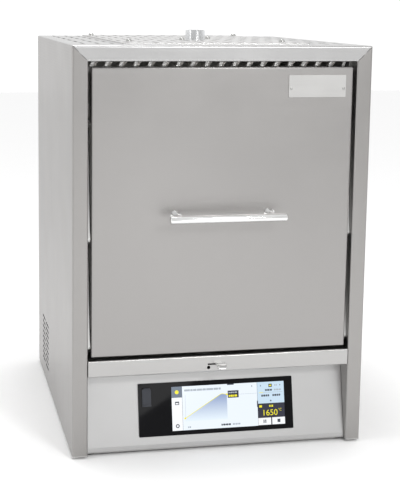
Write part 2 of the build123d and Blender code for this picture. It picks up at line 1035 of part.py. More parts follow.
def inner_sheets():
    outer = insulation_half + inner_sheet
    rear = insulation_end + inner_sheet
    side = block(insulation_half, outer, insulation_front, rear, divider_top, insulation_top)
    back = block(-insulation_half, insulation_half, insulation_end, rear, divider_top, insulation_top)
    back = back - thermocouple_bar(insulation_end - overcut, rear + overcut, thermocouple_diameter)
    return group([side, mirrored(side), back])


def charging_plate():
    half = charging_plate_width / 2
    front = chamber_front + (chamber_depth - charging_plate_depth) / 2
    top = chamber_floor + charging_plate_thickness
    plate = block(-half, half, front, front + charging_plate_depth, chamber_floor, top)
    return chamfer(plate.edges().filter_by(Axis.Z), charging_plate_corner)


def hairpin():
    # A thin hot bar bent back on itself, between two thick cold ends
    half = element_leg_spacing / 2
    bend_z = element_bottom + half + element_hot_radius
    points = [(0, -half, element_cold_end)]
    for step in range(element_bend_steps + 1):
        turn = pi * step / element_bend_steps
        points.append((0, -half * cos(turn), bend_z - half * sin(turn)))
    points.append((0, half, element_cold_end))
    start = Plane(origin=points[0], x_dir=(1, 0, 0), z_dir=(0, 0, -1))
    section = start * RegularPolygon(element_hot_radius, element_sides, major_radius=False)
    pin = sweep(section, Polyline(*points), transition=Transition.RIGHT)
    for step in (-1, 1):
        pin = pin + bar_z(0, step * half, element_cold_end, element_top, element_cold_radius, element_sides)
    return pin


def heating_elements():
    pin = hairpin()
    return group([Pos(side * element_x, middle, 0) * pin for side in (-1, 1) for middle in element_depths])


def element_holders():
    blocks = []
    for side in (-1, 1):
        for middle in element_depths:
            x = side * element_x
            holder = block(
                x - holder_width / 2, x + holder_width / 2,
                middle - holder_length / 2, middle + holder_length / 2,
                insulation_top, holder_top,
            )
            for step in (-1, 1):
                depth = middle + step * element_leg_spacing / 2
                low = insulation_top - overcut
                hole = bar_z(x, depth, low, holder_top + overcut, element_hole_radius, element_sides)
                holder = holder - hole
            blocks.append(holder)
    return group(blocks)


def cold_end(x, depth, low, high):
    return bar_z(x, depth, low, high, element_cold_radius, element_sides)


def terminal_clamps():
    clamps = []
    for x, depth in element_legs():
        half = clamp_size / 2
        clamp = block(x - half, x + half, depth - half, depth + half, holder_top, clamp_top)
        clamps.append(clamp - cold_end(x, depth, holder_top - overcut, clamp_top + overcut))
    return group(clamps)


def terminal_straps():
    # Straps join the elements of each side, and the two sides at the front
    half = strap_width / 2
    front_leg = element_depths[0] - element_leg_spacing / 2
    legs = [element_depths[0] + element_leg_spacing / 2, element_depths[1] - element_leg_spacing / 2]
    side = block(element_x - half, element_x + half, legs[0] - half, legs[1] + half, clamp_top, strap_top)
    for depth in legs:
        side = side - cold_end(element_x, depth, clamp_top - overcut, strap_top + overcut)
    reach = element_x + half
    across = block(-reach, reach, front_leg - half, front_leg + half, clamp_top, strap_top)
    for x in (-element_x, element_x):
        across = across - cold_end(x, front_leg, clamp_top - overcut, strap_top + overcut)
    return group([side, mirrored(side), across])


def thermocouple_bar(front, rear, diameter):
    return bar_y(0, front, rear, thermocouple_z, diameter / 2, thermocouple_sides)


def thermocouple():
    tip = chamber_rear - thermocouple_in_chamber
    collar = insulation_end + inner_sheet
    head_start = collar + thermocouple_behind
    sheath = thermocouple_bar(tip, head_start, thermocouple_diameter)
    flange = thermocouple_bar(collar, collar + thermocouple_flange, thermocouple_head_diameter)
    head = thermocouple_bar(head_start, head_start + thermocouple_head_length, thermocouple_head_diameter)
    return sheath + flange + head


def exhaust_tube():
    top = stub_bottom - exhaust_tube_gap
    collar_high = insulation_top + exhaust_collar
    radius = exhaust_tube_diameter / 2
    sides = exhaust_tube_sides
    tube = bar_z(exhaust_x, exhaust_depth, chamber_roof, top, radius, sides)
    collar = bar_z(exhaust_x, exhaust_depth, insulation_top, collar_high, radius + exhaust_collar, sides)
    bore_radius = exhaust_tube_bore / 2
    bore = bar_z(exhaust_x, exhaust_depth, chamber_roof - overcut, top + overcut, bore_radius, sides)
    return tube + collar - bore


def exhaust_stub():
    top = cover_z + exhaust_rise
    tube = rod_z(exhaust_x, exhaust_depth, stub_bottom, top, exhaust_diameter / 2)
    flange = block(
        exhaust_x - exhaust_flange_x, exhaust_x + exhaust_flange_x,
        exhaust_depth - exhaust_flange_y, exhaust_depth + exhaust_flange_y,
        inner_top - exhaust_flange_sheet, inner_top,
    )
    flange = flange - rod_z(exhaust_x, exhaust_depth, stub_bottom, inner_top, exhaust_diameter / 2)
    bore_radius = exhaust_diameter / 2 - exhaust_wall
    bore = rod_z(exhaust_x, exhaust_depth, stub_bottom - overcut, top + overcut, bore_radius)
    return group([tube - bore, flange])


# Base compartment
def divider():
    shelf = block(-divider_half, divider_half, divider_front, divider_rear, divider_z, divider_top)
    shelf = shelf - duct_passage(divider_z - overcut, divider_top + overcut)
    points = [
        (divider_half - divider_foot, casing_floor),
        (divider_half, casing_floor),
        (divider_half, divider_z),
    ]
    front = Plane.XZ.offset(-divider_leg_front)
    leg = folded(points, divider_sheet, divider_bend, front, divider_leg_front - divider_rear, Side.LEFT)
    return group([shelf, leg, mirrored(leg)])


def lever_middle():
    return lever_slot_centre + lever_slot_length / 2 - lever_end_gap - lever_width / 2


def inlet_lever():
    x = lever_middle()
    high = lever_z + lever_sheet / 2
    straight = Line((slide_rear, high), (-lever_straight, high))
    curl = CenterArc((-lever_straight, high - lever_curl_radius), lever_curl_radius, 90, lever_curl_angle)
    strip = offset(Wire([straight.edge(), curl.edge()]), amount=lever_sheet, side=Side.LEFT)
    tab = extrude(side_plane(x - lever_width / 2) * make_face(strip.edges()), lever_width)
    reach = lever_straight + lever_curl_radius
    outline = Pos(x, 0) * RectangleRounded(lever_width, 2 * reach, lever_corner)
    nose = extrude(outline, casing_top)
    plate = block(x - slide_width / 2, x + slide_width / 2, slide_front, slide_rear, high - lever_sheet, high)
    port = block(
        duct_x + lever_travel - duct_width / 2, duct_x + lever_travel + duct_width / 2,
        duct_front, duct_front + duct_length, high - lever_sheet - overcut, high + overcut,
    )
    return (tab & nose) + plate - port


def slide_guides():
    x = lever_middle()
    low = lever_z - lever_sheet / 2 - guide_gap
    guides = []
    for side, reach in ((-1, lever_travel), (1, 0)):
        face = x + side * (slide_width / 2 + reach + guide_gap)
        far = face + side * guide_sheet
        near = face - side * guide_lip
        web = block(min(face, far), max(face, far), duct_front, slide_rear, low - guide_sheet, divider_z)
        lip = block(min(face, near), max(face, near), duct_front, slide_rear, low - guide_sheet, low)
        guides.append(web + lip)
    return group(guides)


def duct_passage(low, high):
    left = duct_x - duct_width / 2
    return block(left, left + duct_width, duct_front, duct_front + duct_length, low, high)


def inlet_duct():
    low = lever_z + lever_sheet / 2 + guide_gap
    passage = duct_passage(low, divider_z)
    ends = passage.faces().filter_by(Axis.Z)
    return offset(passage, amount=duct_wall, openings=ends, kind=Kind.INTERSECTION)


def transformer_core():
    low = casing_floor + core_lift
    left = core_x - core_width / 2
    front = core_depth - core_stack / 2
    core = block(left, left + core_width, front, front + core_stack, low, low + core_height)
    window = (core_width - 2 * core_limb) / 2
    for side in (-1, 1):
        start = core_x + side * (core_limb / 2 + window / 2)
        core = core - block(
            start - window / 2, start + window / 2, front - overcut, front + core_stack + overcut,
            low + core_limb / 2, low + core_height - core_limb / 2,
        )
    foot_top = low + core_limb / 2
    for depth in (front - core_foot, front + core_stack):
        core = core + block(left, left + core_width, depth, depth + core_foot, casing_floor, foot_top)
    return core


def transformer_coil():
    low = casing_floor + core_lift + core_limb / 2
    high = casing_floor + core_lift + core_height - core_limb / 2 - coil_gap
    window = (core_width - 2 * core_limb) / 2
    thick = window - 2 * coil_gap
    inner_x = core_limb / 2 + coil_gap
    inner_y = core_stack / 2 + coil_gap
    outer = RectangleRounded(2 * (inner_x + thick), 2 * (inner_y + thick), coil_corner)
    ring = Plane.XY.offset(low) * Pos(core_x, core_depth) * (outer - Rectangle(2 * inner_x, 2 * inner_y))
    return extrude(ring, high - low)


def heat_sink():
    left = sink_x - sink_width / 2
    front = sink_depth - sink_length / 2
    base_low = casing_floor + sink_fin_height
    sink = block(left, left + sink_width, front, front + sink_length, base_low, base_low + sink_base)
    pitch = (sink_width - sink_fin) / (sink_fins - 1)
    for fin in range(sink_fins):
        x = left + fin * pitch
        sink = sink + block(x, x + sink_fin, front, front + sink_length, casing_floor, base_low)
    return sink


def power_module():
    low = casing_floor + sink_fin_height + sink_base
    body = block(
        sink_x - module_width / 2, sink_x + module_width / 2,
        sink_depth - module_length / 2, sink_depth + module_length / 2, low, low + module_height,
    )
    body = chamfer(body.edges().filter_by(Axis.Y).group_by(Axis.Z)[-1], module_chamfer)
    screws = []
    for x in (-1, 1):
        for depth in (-1, 1):
            screw_x = sink_x + x * module_screw_x
            screw_depth = sink_depth + depth * module_screw_y
            screws.append((screw_x, screw_depth, low + module_height))
    return group([body] + heads(screws, facing_up, module_screw_radius, module_screw_height))


def control_board():
    low = casing_floor + board_lift
    top = low + board_thickness
    left = board_x - board_width / 2
    front = board_depth - board_length / 2
    board = block(left, left + board_width, front, front + board_length, low, top)
    pieces = [board]
    for x in (left + board_hole_inset, left + board_width - board_hole_inset):
        for depth in (front + board_hole_inset, front + board_length - board_hole_inset):
            pieces.append(bar_z(x, depth, casing_floor, low, board_post_radius, board_post_sides))
    relay_left = left + relay_inset
    relay_right = relay_left + relay_size
    can_x = left + capacitor_inset
    for count in range(relay_count):
        start = front + relay_first + count * relay_pitch
        middle = start + relay_size / 2
        pieces.append(block(relay_left, relay_right, start, start + relay_size, top, top + relay_size))
        pieces.append(bar_z(can_x, middle, top, top + capacitor_height, capacitor_radius, capacitor_sides))
    return group(pieces)


# Controller
def controller_body():
    inset = controller_inset
    width = controller_width - 2 * inset
    height = controller_height - 2 * inset
    shell = fascia_block(controller_x, controller_up + inset, width, height, -controller_body_depth, 0)
    back = shell.faces().sort_by(Axis((0, 0, 0), fascia_plane.z_dir))[0]
    return chamfer(back.edges(), controller_chamfer)


def screen_block(back, front, margin):
    return fascia_block(
        screen_x, screen_up - margin, screen_width + 2 * margin, screen_height + 2 * margin, back, front
    )


def usb_block(margin, back, front):
    return fascia_block(usb_x, usb_up + margin, usb_width - 2 * margin, usb_height - 2 * margin, back, front)


def controller_glass():
    glass = fascia_block(controller_x, controller_up, controller_width, controller_height, 0, glass_thickness)
    corners = glass.edges().filter_by(Axis((0, 0, 0), fascia_plane.z_dir))
    glass = fillet(corners, glass_corner)
    glass = glass - screen_block(-overcut, glass_thickness + overcut, 0)
    return glass - usb_block(usb_rim, -overcut, glass_thickness + overcut)


def screen():
    return screen_block(0, glass_thickness - screen_recess, 0)


def usb_hinge_up():
    return usb_up + usb_height - usb_hinge_radius


def usb_hinge_out():
    return glass_thickness + usb_seat + usb_hinge_radius


def usb_rod(half_length, radius):
    hinge = on_fascia(usb_x, usb_hinge_up(), usb_hinge_out())
    return hinge * Rot(0, 90, 0) * Cylinder(radius, 2 * half_length)


def usb_socket():
    # The slot with its tongue, and two lugs that carry the pin of the cover
    base = usb_block(usb_rim, 0, glass_thickness - usb_sink)
    low = usb_up + (usb_height - usb_slot_height) / 2
    slot = fascia_block(usb_x, low, usb_slot_width, usb_slot_height, usb_slot_floor, glass_thickness)
    tongue = fascia_block(
        usb_x - usb_slot_width / 4, low + usb_rim, usb_tongue, usb_slot_height - 2 * usb_rim,
        0, glass_thickness - usb_sink,
    )
    socket = base - slot + tongue
    half = usb_width / 2 - usb_rim
    lug_height = usb_hinge_radius - usb_rim + usb_hinge_radius
    for side in (-1, 1):
        middle = usb_x + side * (half - usb_lug / 2)
        socket = socket + fascia_block(
            middle, usb_up + usb_height - usb_rim - lug_height, usb_lug, lug_height, 0, usb_hinge_out()
        )
    ends = usb_rod(half, usb_hinge_radius) - usb_rod(half - usb_lug, usb_hinge_radius + usb_pin_radius)
    return socket + ends + usb_rod(half, usb_pin_radius)


def usb_cover():
    back = glass_thickness + usb_seat
    front = back + usb_cover_thickness
    plate_height = usb_height - 2 * usb_hinge_radius - usb_cover_gap
    barrel_half = usb_width / 2 - usb_rim - usb_lug - usb_cover_gap
    plate = fascia_block(usb_x, usb_up, usb_width, plate_height, back, front)
    lip = fascia_block(usb_x, usb_up, usb_width, usb_lip, back, front + usb_lip_rise)
    bridge = fascia_block(
        usb_x, usb_up + plate_height, 2 * barrel_half, usb_hinge_up() - usb_up - plate_height, back, front
    )
    barrel = usb_rod(barrel_half, usb_hinge_radius)
    return plate + lip + bridge + barrel - usb_rod(usb_width, usb_pin_radius + usb_pin_clearance)


# Rear fittings
def fan_frame():
    front = rear_face - fan_depth
    half = fan_size / 2
    frame = block(fan_x - half, fan_x + half, front, rear_face, fan_z - half, fan_z + half)
    frame = chamfer(frame.edges().filter_by(Axis.Y), fan_corner)
    frame = frame - rod_y(fan_x, front - overcut, rear_face + overcut, fan_z, fan_bore / 2)
    hub = rod_y(fan_x, front, front + fan_web, fan_z, fan_hub / 2)
    for turn in range(fan_struts):
        strut = Pos(0, 0, fan_bore / 4) * Box(fan_strut, fan_web, fan_bore / 2)
        hub = hub + Pos(fan_x, front + fan_web / 2, fan_z) * Rot(0, 360 / fan_struts * turn, 0) * strut
    shaft = rod_y(fan_x, front, rear_face - fan_rear_gap - 2 * fan_web, fan_z, fan_shaft_radius)
    hub = hub & rod_y(fan_x, front, rear_face, fan_z, fan_bore / 2)
    return frame + hub + shaft


def fan_rotor():
    front = rear_face - fan_depth + fan_web + fan_rear_gap
    rear = rear_face - fan_rear_gap
    hub = rod_y(fan_x, front, rear, fan_z, fan_hub / 2)
    tip = fan_bore / 2 - fan_tip_gap
    rotor = hub
    for blade in range(fan_blades):
        vane = Pos(0, 0, tip / 2) * Rot(0, 0, fan_pitch) * Box(fan_vane, 2 * fan_depth, tip)
        vane = Pos(fan_x, (front + rear) / 2, fan_z) * Rot(0, 360 / fan_blades * blade, 0) * vane
        rotor = rotor + (vane & rod_y(fan_x, front + fan_web, rear - fan_web, fan_z, tip))
    bore = rod_y(fan_x, front - overcut, rear - fan_web, fan_z, fan_shaft_radius + pin_clearance)
    return rotor - bore


def fan_guard():
    wire = guard_wire
    front = casing_depth
    rear = front + wire
    guard = None
    for ring in range(guard_rings):
        radius = fan_bore / 2 * (ring + 1) / guard_rings + wire / 2
        inside = bar_y(fan_x, front - overcut, rear + overcut, fan_z, radius - wire, guard_sides)
        circle = bar_y(fan_x, front, rear, fan_z, radius, guard_sides) - inside
        guard = circle if guard is None else guard + circle
    reach = fan_bore / 2 + guard_ear
    for turn in guard_spoke_angles:
        spoke = Pos(fan_x, front + wire / 2, fan_z) * Rot(0, turn, 0) * Box(wire, wire, 2 * reach)
        guard = guard + spoke
    corner = reach / sqrt(2)
    for x in (fan_x - corner, fan_x + corner):
        for z in (fan_z - corner, fan_z + corner):
            guard = guard + bar_y(x, front, rear, z, guard_ear_radius, guard_ear_sides)
    return guard


def mains_inlet():
    rear = casing_depth + inlet_flange
    flange = block(
        inlet_x - inlet_flange_width / 2, inlet_x + inlet_flange_width / 2, casing_depth, rear,
        inlet_z - inlet_flange_height / 2, inlet_z + inlet_flange_height / 2,
    )
    front = casing_depth - inlet_depth
    body = block(
        inlet_x - inlet_width / 2, inlet_x + inlet_width / 2, front, casing_depth,
        inlet_z - inlet_height / 2, inlet_z + inlet_height / 2,
    )
    flange = fillet(flange.edges().filter_by(Axis.Y), inlet_corner)
    floor_depth = rear - inlet_recess
    recess = block(
        inlet_x - inlet_recess_width / 2, inlet_x + inlet_recess_width / 2, floor_depth, rear + overcut,
        inlet_z - inlet_recess_height / 2, inlet_z + inlet_recess_height / 2,
    )
    recess = chamfer(recess.edges().filter_by(Axis.Y).group_by(Axis.Z)[-1], inlet_corner)
    pins = []
    for step in (-1, 0, 1):
        x = inlet_x + step * inlet_pin_pitch
        z = inlet_z + (0 if step else inlet_pin_rise)
        half = inlet_pin_thick / 2
        rise = inlet_pin_height / 2
        pins.append(block(x - half, x + half, floor_depth, floor_depth + inlet_pin, z - rise, z + rise))
    return group([body + flange - recess] + pins)


def power_switch():
    front = casing_depth - switch_body_depth
    rear = casing_depth + switch_flange
    body = block(
        inlet_x - switch_width / 2, inlet_x + switch_width / 2, front, casing_depth,
        switch_z - switch_height / 2, switch_z + switch_height / 2,
    )
    rim = block(
        inlet_x - switch_width / 2 - switch_rim, inlet_x + switch_width / 2 + switch_rim, casing_depth, rear,
        switch_z - switch_height / 2 - switch_rim, switch_z + switch_height / 2 + switch_rim,
    )
    well_x = switch_width / 2 - switch_rim
    well_z = switch_height / 2 - switch_rim
    well = block(
        inlet_x - well_x, inlet_x + well_x, casing_depth - switch_well, rear + overcut,
        switch_z - well_z, switch_z + well_z,
    )
    half = switch_width / 2
    bore = rod_x(inlet_x - half, inlet_x + half, rocker_axis, switch_z, rocker_pin_radius + pin_clearance)
    return body + rim - well - (bore & well_surround())


def well_surround():
    # The stretch of the side walls that the rocker's pins reach into
    reach = switch_width / 2 - switch_rim + rocker_pin_length
    depth = rocker_axis - switch_well
    return block(inlet_x - reach, inlet_x + reach, depth, casing_depth + switch_flange, 0, casing_top)


def switch_rocker():
    # A shallow V with rounded ends, turned about its own pins
    half_x = switch_width / 2 - switch_rim - switch_play
    end_radius = switch_height / 2 - switch_rim - switch_play
    crown = casing_depth + switch_flange + rocker_crown
    waist = casing_depth + switch_flange - rocker_waist
    root = rocker_axis - rocker_depth
    section = Polyline(
        (root, -rocker_root),
        (root, rocker_root),
        (crown, end_radius),
        (waist, 0),
        (crown, -end_radius),
        close=True,
    )
    left = inlet_x - half_x
    wedge = extrude(side_plane(left) * make_face(section), 2 * half_x)
    rocker = wedge & rod_x(left, left + 2 * half_x, rocker_axis, 0, end_radius)
    pin_half = switch_width / 2 - switch_rim + rocker_pin_length - switch_play / 2
    rocker = rocker + rod_x(inlet_x - pin_half, inlet_x + pin_half, rocker_axis, 0, rocker_pin_radius)
    tilt = Pos(0, rocker_axis, 0) * Rot(switch_angle, 0, 0) * Pos(0, -rocker_axis, 0)
    return Pos(0, 0, switch_z) * tilt * rocker


nodes = {
    "side_panel_right": side_panel(),
    "side_panel_left": mirrored(side_panel()),
    "top_cover": top_cover(),
    "top_cover_plate": top_cover_plate(),
    "casing_screws": casing_screws(),
    "rear_panel": rear_panel(),
    "base_plate": base_plate(),
    "feet": feet(),
    "front_rail": front_rail(),
    "control_fascia": control_fascia(),
    "vent_strip": vent_strip(),
    "lift_brackets": lift_brackets(),
    "lift_shaft": lift_shaft(),
    "upper_lift_arms": upper_lift_arms(),
    "lower_lift_arms": lower_lift_arms(),
    "door_skin": door_skin(),
    "door_liner": door_liner(),
    "door_insulation": door_insulation(),
    "door_plug": door_plug(),
    "door_gasket": door_gasket(),
    "door_pins": door_pins(),
    "friction_washers": friction_washers(),
    "handle_bar": handle_bar(),
    "handle_standoffs": handle_standoffs(),
    "blank_plate": blank_plate(),
    "door_screws": door_screws(),
    "mouth_frame": mouth_frame(),
    "insulation_floor": insulation_floor(),
    "insulation_roof": insulation_roof(),
    "insulation_sides": insulation_sides(),
    "insulation_rear": insulation_back(),
    "inner_sheets": inner_sheets(),
    "charging_plate": charging_plate(),
    "heating_elements": heating_elements(),
    "element_holders": element_holders(),
    "terminal_clamps": terminal_clamps(),
    "terminal_straps": terminal_straps(),
    "thermocouple": thermocouple(),
    "exhaust_tube": exhaust_tube(),
    "exhaust_stub": exhaust_stub(),
    "divider": divider(),
    "slide_guides": slide_guides(),
    "inlet_lever": inlet_lever(),
    "inlet_duct": inlet_duct(),
    "controller_body": controller_body(),
    "controller_glass": controller_glass(),
    "screen": screen(),
    "usb_socket": usb_socket(),
    "usb_cover": usb_cover(),
    "transformer_core": transformer_core(),
    "transformer_coil": transformer_coil(),
    "heat_sink": heat_sink(),
    "power_module": power_module(),
    "control_board": control_board(),
    "fan_frame": fan_frame(),
    "fan_rotor": fan_rotor(),
    "fan_guard": fan_guard(),
    "mains_inlet": mains_inlet(),
    "power_switch": power_switch(),
    "switch_rocker": switch_rocker(),
}

# The origin is the middle of the whole outline, at the floor
outline = group(nodes.values()).bounding_box()
shift = Pos(0, -(outline.min.Y + outline.max.Y) / 2, 0)

os.makedirs("parts", exist_ok=True)
for name, shape in nodes.items():
    export_step(shift * shape, f"parts/{name}.step")

moved = shift.position.Y
print("front plane at y", moved)
print("outline", outline.size.X, outline.size.Y, outline.size.Z)
print("shaft axis", fixed_pin_depth + moved, upper_pin_z)
print("fixed pins of the lower arms", fixed_pin_depth + moved, middle_pin_z)
print("door pins", door_pin_depth + moved, middle_pin_z, lower_pin_z)
hinge = on_fascia(usb_x, usb_hinge_up(), usb_hinge_out()).position
print("socket cover hinge", hinge.X, hinge.Y + moved, hinge.Z)
print("rocker axis", inlet_x, rocker_axis + moved, switch_z)
print("fan axis", fan_x, rear_face + moved, fan_z)
print("chamber", chamber_front + moved, chamber_rear + moved, chamber_floor, chamber_roof)
print("exhaust", exhaust_x, exhaust_depth + moved, stub_bottom, cover_z + exhaust_rise)
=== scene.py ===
import bmesh
import bpy
import math
from mathutils import Matrix, Quaternion, Vector, noise


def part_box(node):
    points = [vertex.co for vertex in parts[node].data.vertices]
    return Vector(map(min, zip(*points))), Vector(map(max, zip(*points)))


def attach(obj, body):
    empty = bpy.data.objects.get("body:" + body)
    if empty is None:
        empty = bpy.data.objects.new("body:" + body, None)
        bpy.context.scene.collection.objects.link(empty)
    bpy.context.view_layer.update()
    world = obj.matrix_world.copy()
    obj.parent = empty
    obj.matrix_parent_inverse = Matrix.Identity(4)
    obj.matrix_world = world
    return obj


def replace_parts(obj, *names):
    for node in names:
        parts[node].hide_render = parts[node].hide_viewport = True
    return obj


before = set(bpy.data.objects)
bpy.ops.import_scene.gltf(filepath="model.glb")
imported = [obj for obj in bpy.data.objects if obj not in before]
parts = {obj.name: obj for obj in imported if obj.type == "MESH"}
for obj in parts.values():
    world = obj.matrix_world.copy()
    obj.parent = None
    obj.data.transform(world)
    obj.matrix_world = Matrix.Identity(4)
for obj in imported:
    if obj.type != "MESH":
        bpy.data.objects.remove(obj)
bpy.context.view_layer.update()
print("frame loaded:", len(parts), "nodes")

meshLook = {
    "weld": 0.000001,    # corners this close are one corner
    "sharp": 38,         # degrees past which an edge of a new piece shows sharp
    "bend": 42,          # degrees past which an edge of a part is rounded over
    "facing": 0.9,       # how squarely a face has to look along a direction, where 1 is fully
}


class Wire:
    # one socket that can stand in a sum
    def __init__(self, paint, socket):
        self.paint = paint
        self.socket = socket

    def __add__(self, other): return self.paint.maths("ADD", self, other)
    def __radd__(self, other): return self.paint.maths("ADD", other, self)
    def __sub__(self, other): return self.paint.maths("SUBTRACT", self, other)
    def __rsub__(self, other): return self.paint.maths("SUBTRACT", other, self)
    def __mul__(self, other): return self.paint.maths("MULTIPLY", self, other)
    def __rmul__(self, other): return self.paint.maths("MULTIPLY", other, self)
    def __truediv__(self, other): return self.paint.maths("DIVIDE", self, other)
    def __rtruediv__(self, other): return self.paint.maths("DIVIDE", other, self)


class Paint:
    # one material and the nodes behind it
    def __init__(self, name):
        self.material = bpy.data.materials.new(name)
        self.material.use_nodes = True
        self.tree = self.material.node_tree
        self.tree.nodes.clear()
        self.place = self.add("ShaderNodeTexCoord", output="Object")

    def add(self, kind, settings=None, sockets=None, output=0):
        node = self.tree.nodes.new(kind)
        for key, value in (settings or {}).items():
            setattr(node, key, value)
        for key, value in (sockets or {}).items():
            if isinstance(value, Wire):
                self.tree.links.new(value.socket, node.inputs[key])
            else:
                node.inputs[key].default_value = value
        return Wire(self, node.outputs[output])

    def maths(self, operation, first, second=0):
        return self.add("ShaderNodeMath", {"operation": operation}, {0: first, 1: second})

    def limit(self, value):
        return self.add("ShaderNodeClamp", None, {0: value})

    def mix(self, amount, first, second):
        def full(tint): return tint if isinstance(tint, Wire) else (*tint, 1.0)
        return self.add("ShaderNodeMix", {"data_type": "RGBA"},
                        {0: amount, 6: full(first), 7: full(second)}, output=2)

    def tone(self, tint, amount):
        # a colour made lighter or darker by a value near one
        grey = self.add("ShaderNodeCombineXYZ", None, {0: amount, 1: amount, 2: amount})
        return self.add("ShaderNodeVectorMath", {"operation": "MULTIPLY"}, {0: tint, 1: grey})

    def coordinate(self, axis):
        # a place along x, y or z, as 0, 1 or 2
        return self.add("ShaderNodeSeparateXYZ", None, {0: self.place}, output=axis)

    def stretched(self, scale, turn=(0, 0, 0)):
        return self.add("ShaderNodeMapping", None, {"Vector": self.place, "Rotation": turn, "Scale": scale})

    def noise(self, scale, detail=2.0, roughness=0.5, where=None):
        return self.add("ShaderNodeTexNoise", None, {
            "Vector": where or self.place, "Scale": scale, "Detail": detail, "Roughness": roughness})

    def brushed(self, scale, roughness=0.5):
        # noise drawn out into streaks, where a small scale is the long way
        return self.noise(1.0, 4.0, roughness, self.stretched(scale))

    def waves(self, scale, bands, turn=(0, 0, 0)):
        return self.add("ShaderNodeTexWave", {"bands_direction": bands},
                        {"Vector": self.stretched((1, 1, 1), turn), "Scale": scale}, output="Fac")

    def bump(self, height, strength, distance):
        return self.add("ShaderNodeBump", None,
                        {"Height": height, "Strength": strength, "Distance": distance})

    def finish(self, **sockets):
        named = {key.replace("_", " "): value for key, value in sockets.items()}
        for key in ("Base Color", "Emission Color"):
            if key in named and not isinstance(named[key], Wire):
                named[key] = (*named[key], 1.0)
        shader = self.add("ShaderNodeBsdfPrincipled", None, named)
        out = self.tree.nodes.new("ShaderNodeOutputMaterial")
        self.tree.links.new(shader.socket, out.inputs["Surface"])
        return self.material


# the steel tints are set part by part to how bright each part looks, so beside each sheet's own tone they
# hold painted light and shade: the fascia lighter, the side darker
steelLooks = {
    # tint, roughness, brush scale along x y z, streak, grain and cloud amounts
    "satin_steel": ((0.42, 0.41, 0.40), 0.34, (8, 500, 500), 0.05, 0.10, 0.05),
    "side_steel": ((0.350, 0.340, 0.332), 0.34, (500, 500, 8), 0.05, 0.10, 0.05),
    "header_steel": ((0.48, 0.478, 0.476), 0.34, (8, 500, 500), 0.05, 0.10, 0.05),
    "rail_steel": ((0.47, 0.465, 0.458), 0.32, (8, 500, 500), 0.05, 0.08, 0.05),
    "door_steel": ((0.36, 0.350, 0.343), 0.36, (8, 500, 500), 0.05, 0.12, 0.05),
    "fascia_steel": ((0.53, 0.528, 0.526), 0.36, (8, 500, 500), 0.05, 0.10, 0.05),
    "cover_steel": ((0.56, 0.555, 0.55), 0.36, (8, 500, 500), 0.05, 0.10, 0.05),
    "base_steel": ((0.50, 0.495, 0.485), 0.36, (8, 500, 500), 0.05, 0.08, 0.05),
    # the tongues and the vent strip are lightened as painted light, standing in for light reaching the shaded
    # cells between header and door
    "tongue_steel": ((0.66, 0.63, 0.60), 0.50, (8, 500, 500), 0.05, 0.08, 0.05),
    "vent_steel": ((0.60, 0.595, 0.585), 0.30, (8, 500, 500), 0.05, 0.08, 0.05),
    "bracket_steel": ((0.55, 0.55, 0.545), 0.38, (300, 300, 8), 0.08, 0.08, 0.08),
    "arm_steel": ((0.60, 0.60, 0.59), 0.32, (300, 8, 300), 0.08, 0.08, 0.06),
    "liner_steel": ((0.52, 0.51, 0.49), 0.34, (8, 400, 400), 0.08, 0.10, 0.12),
    "inner_steel": ((0.50, 0.51, 0.515), 0.42, (60, 60, 60), 0.06, 0.08, 0.22),
    "stub_steel": ((0.74, 0.75, 0.76), 0.22, (300, 300, 8), 0.05, 0.06, 0.04),
    "lever_steel": ((0.56, 0.56, 0.555), 0.28, (8, 400, 400), 0.04, 0.05, 0.03),
    "plate_steel": ((0.60, 0.595, 0.585), 0.30, (8, 600, 600), 0.06, 0.06, 0.04),
    "polished_steel": ((0.82, 0.82, 0.815), 0.12, (5, 300, 300), 0.03, 0.02, 0.02),
    "bright_steel": ((0.72, 0.72, 0.71), 0.22, (300, 300, 300), 0.04, 0.04, 0.04),
    "screw_steel": ((0.44, 0.44, 0.43), 0.28, (200, 200, 200), 0.04, 0.05, 0.06),
    "core_steel": ((0.34, 0.34, 0.35), 0.45, (8, 8, 900), 0.30, 0.08, 0.10),
    "sink_aluminium": ((0.70, 0.70, 0.71), 0.34, (300, 8, 300), 0.08, 0.06, 0.05),
    "clamp_aluminium": ((0.66, 0.66, 0.66), 0.36, (8, 300, 300), 0.08, 0.06, 0.08),
    "guard_wire": ((0.66, 0.66, 0.66), 0.22, (100, 100, 100), 0.04, 0.03, 0.05),
}


sheetLook = {
    "weave": 131,        # scale of the fine linen pattern rolled into the sheet
    "lean": 0.7,         # turn of its two sets of threads
    "dots": 900,
    "clouds": 14,
    "cloudDull": 0.10,   # how much clouds and streaks change the roughness
    "streakDull": 0.12,
    "bump": (0.18, 0.0002),
}


def steelPaint(name, tint, roughness, brush, streak, grain, cloud):
    paint = Paint(name)
    streaks = paint.brushed(brush, 0.65)
    clouds = paint.noise(sheetLook["clouds"], 3)
    scale, lean = sheetLook["weave"], sheetLook["lean"]
    linen = (paint.waves(scale, "X", (0, lean, 0)) + paint.waves(scale, "X", (0, -lean, 0))) * 0.5
    dots = linen * paint.noise(sheetLook["dots"], 1)
    shade = 1 + (streaks - 0.5) * streak + (clouds - 0.5) * cloud + (dots - 0.25) * grain
    rough = roughness + (clouds - 0.5) * sheetLook["cloudDull"] + (streaks - 0.5) * sheetLook["streakDull"]
    return paint.finish(Base_Color=paint.tone(tint, shade), Metallic=1.0, Roughness=rough,
                        Normal=paint.bump(streaks * 0.5 + dots, *sheetLook["bump"]))


powderLook = {"pebble": 1800, "clouds": 30, "dull": 0.12, "bump": (0.2, 0.0002)}


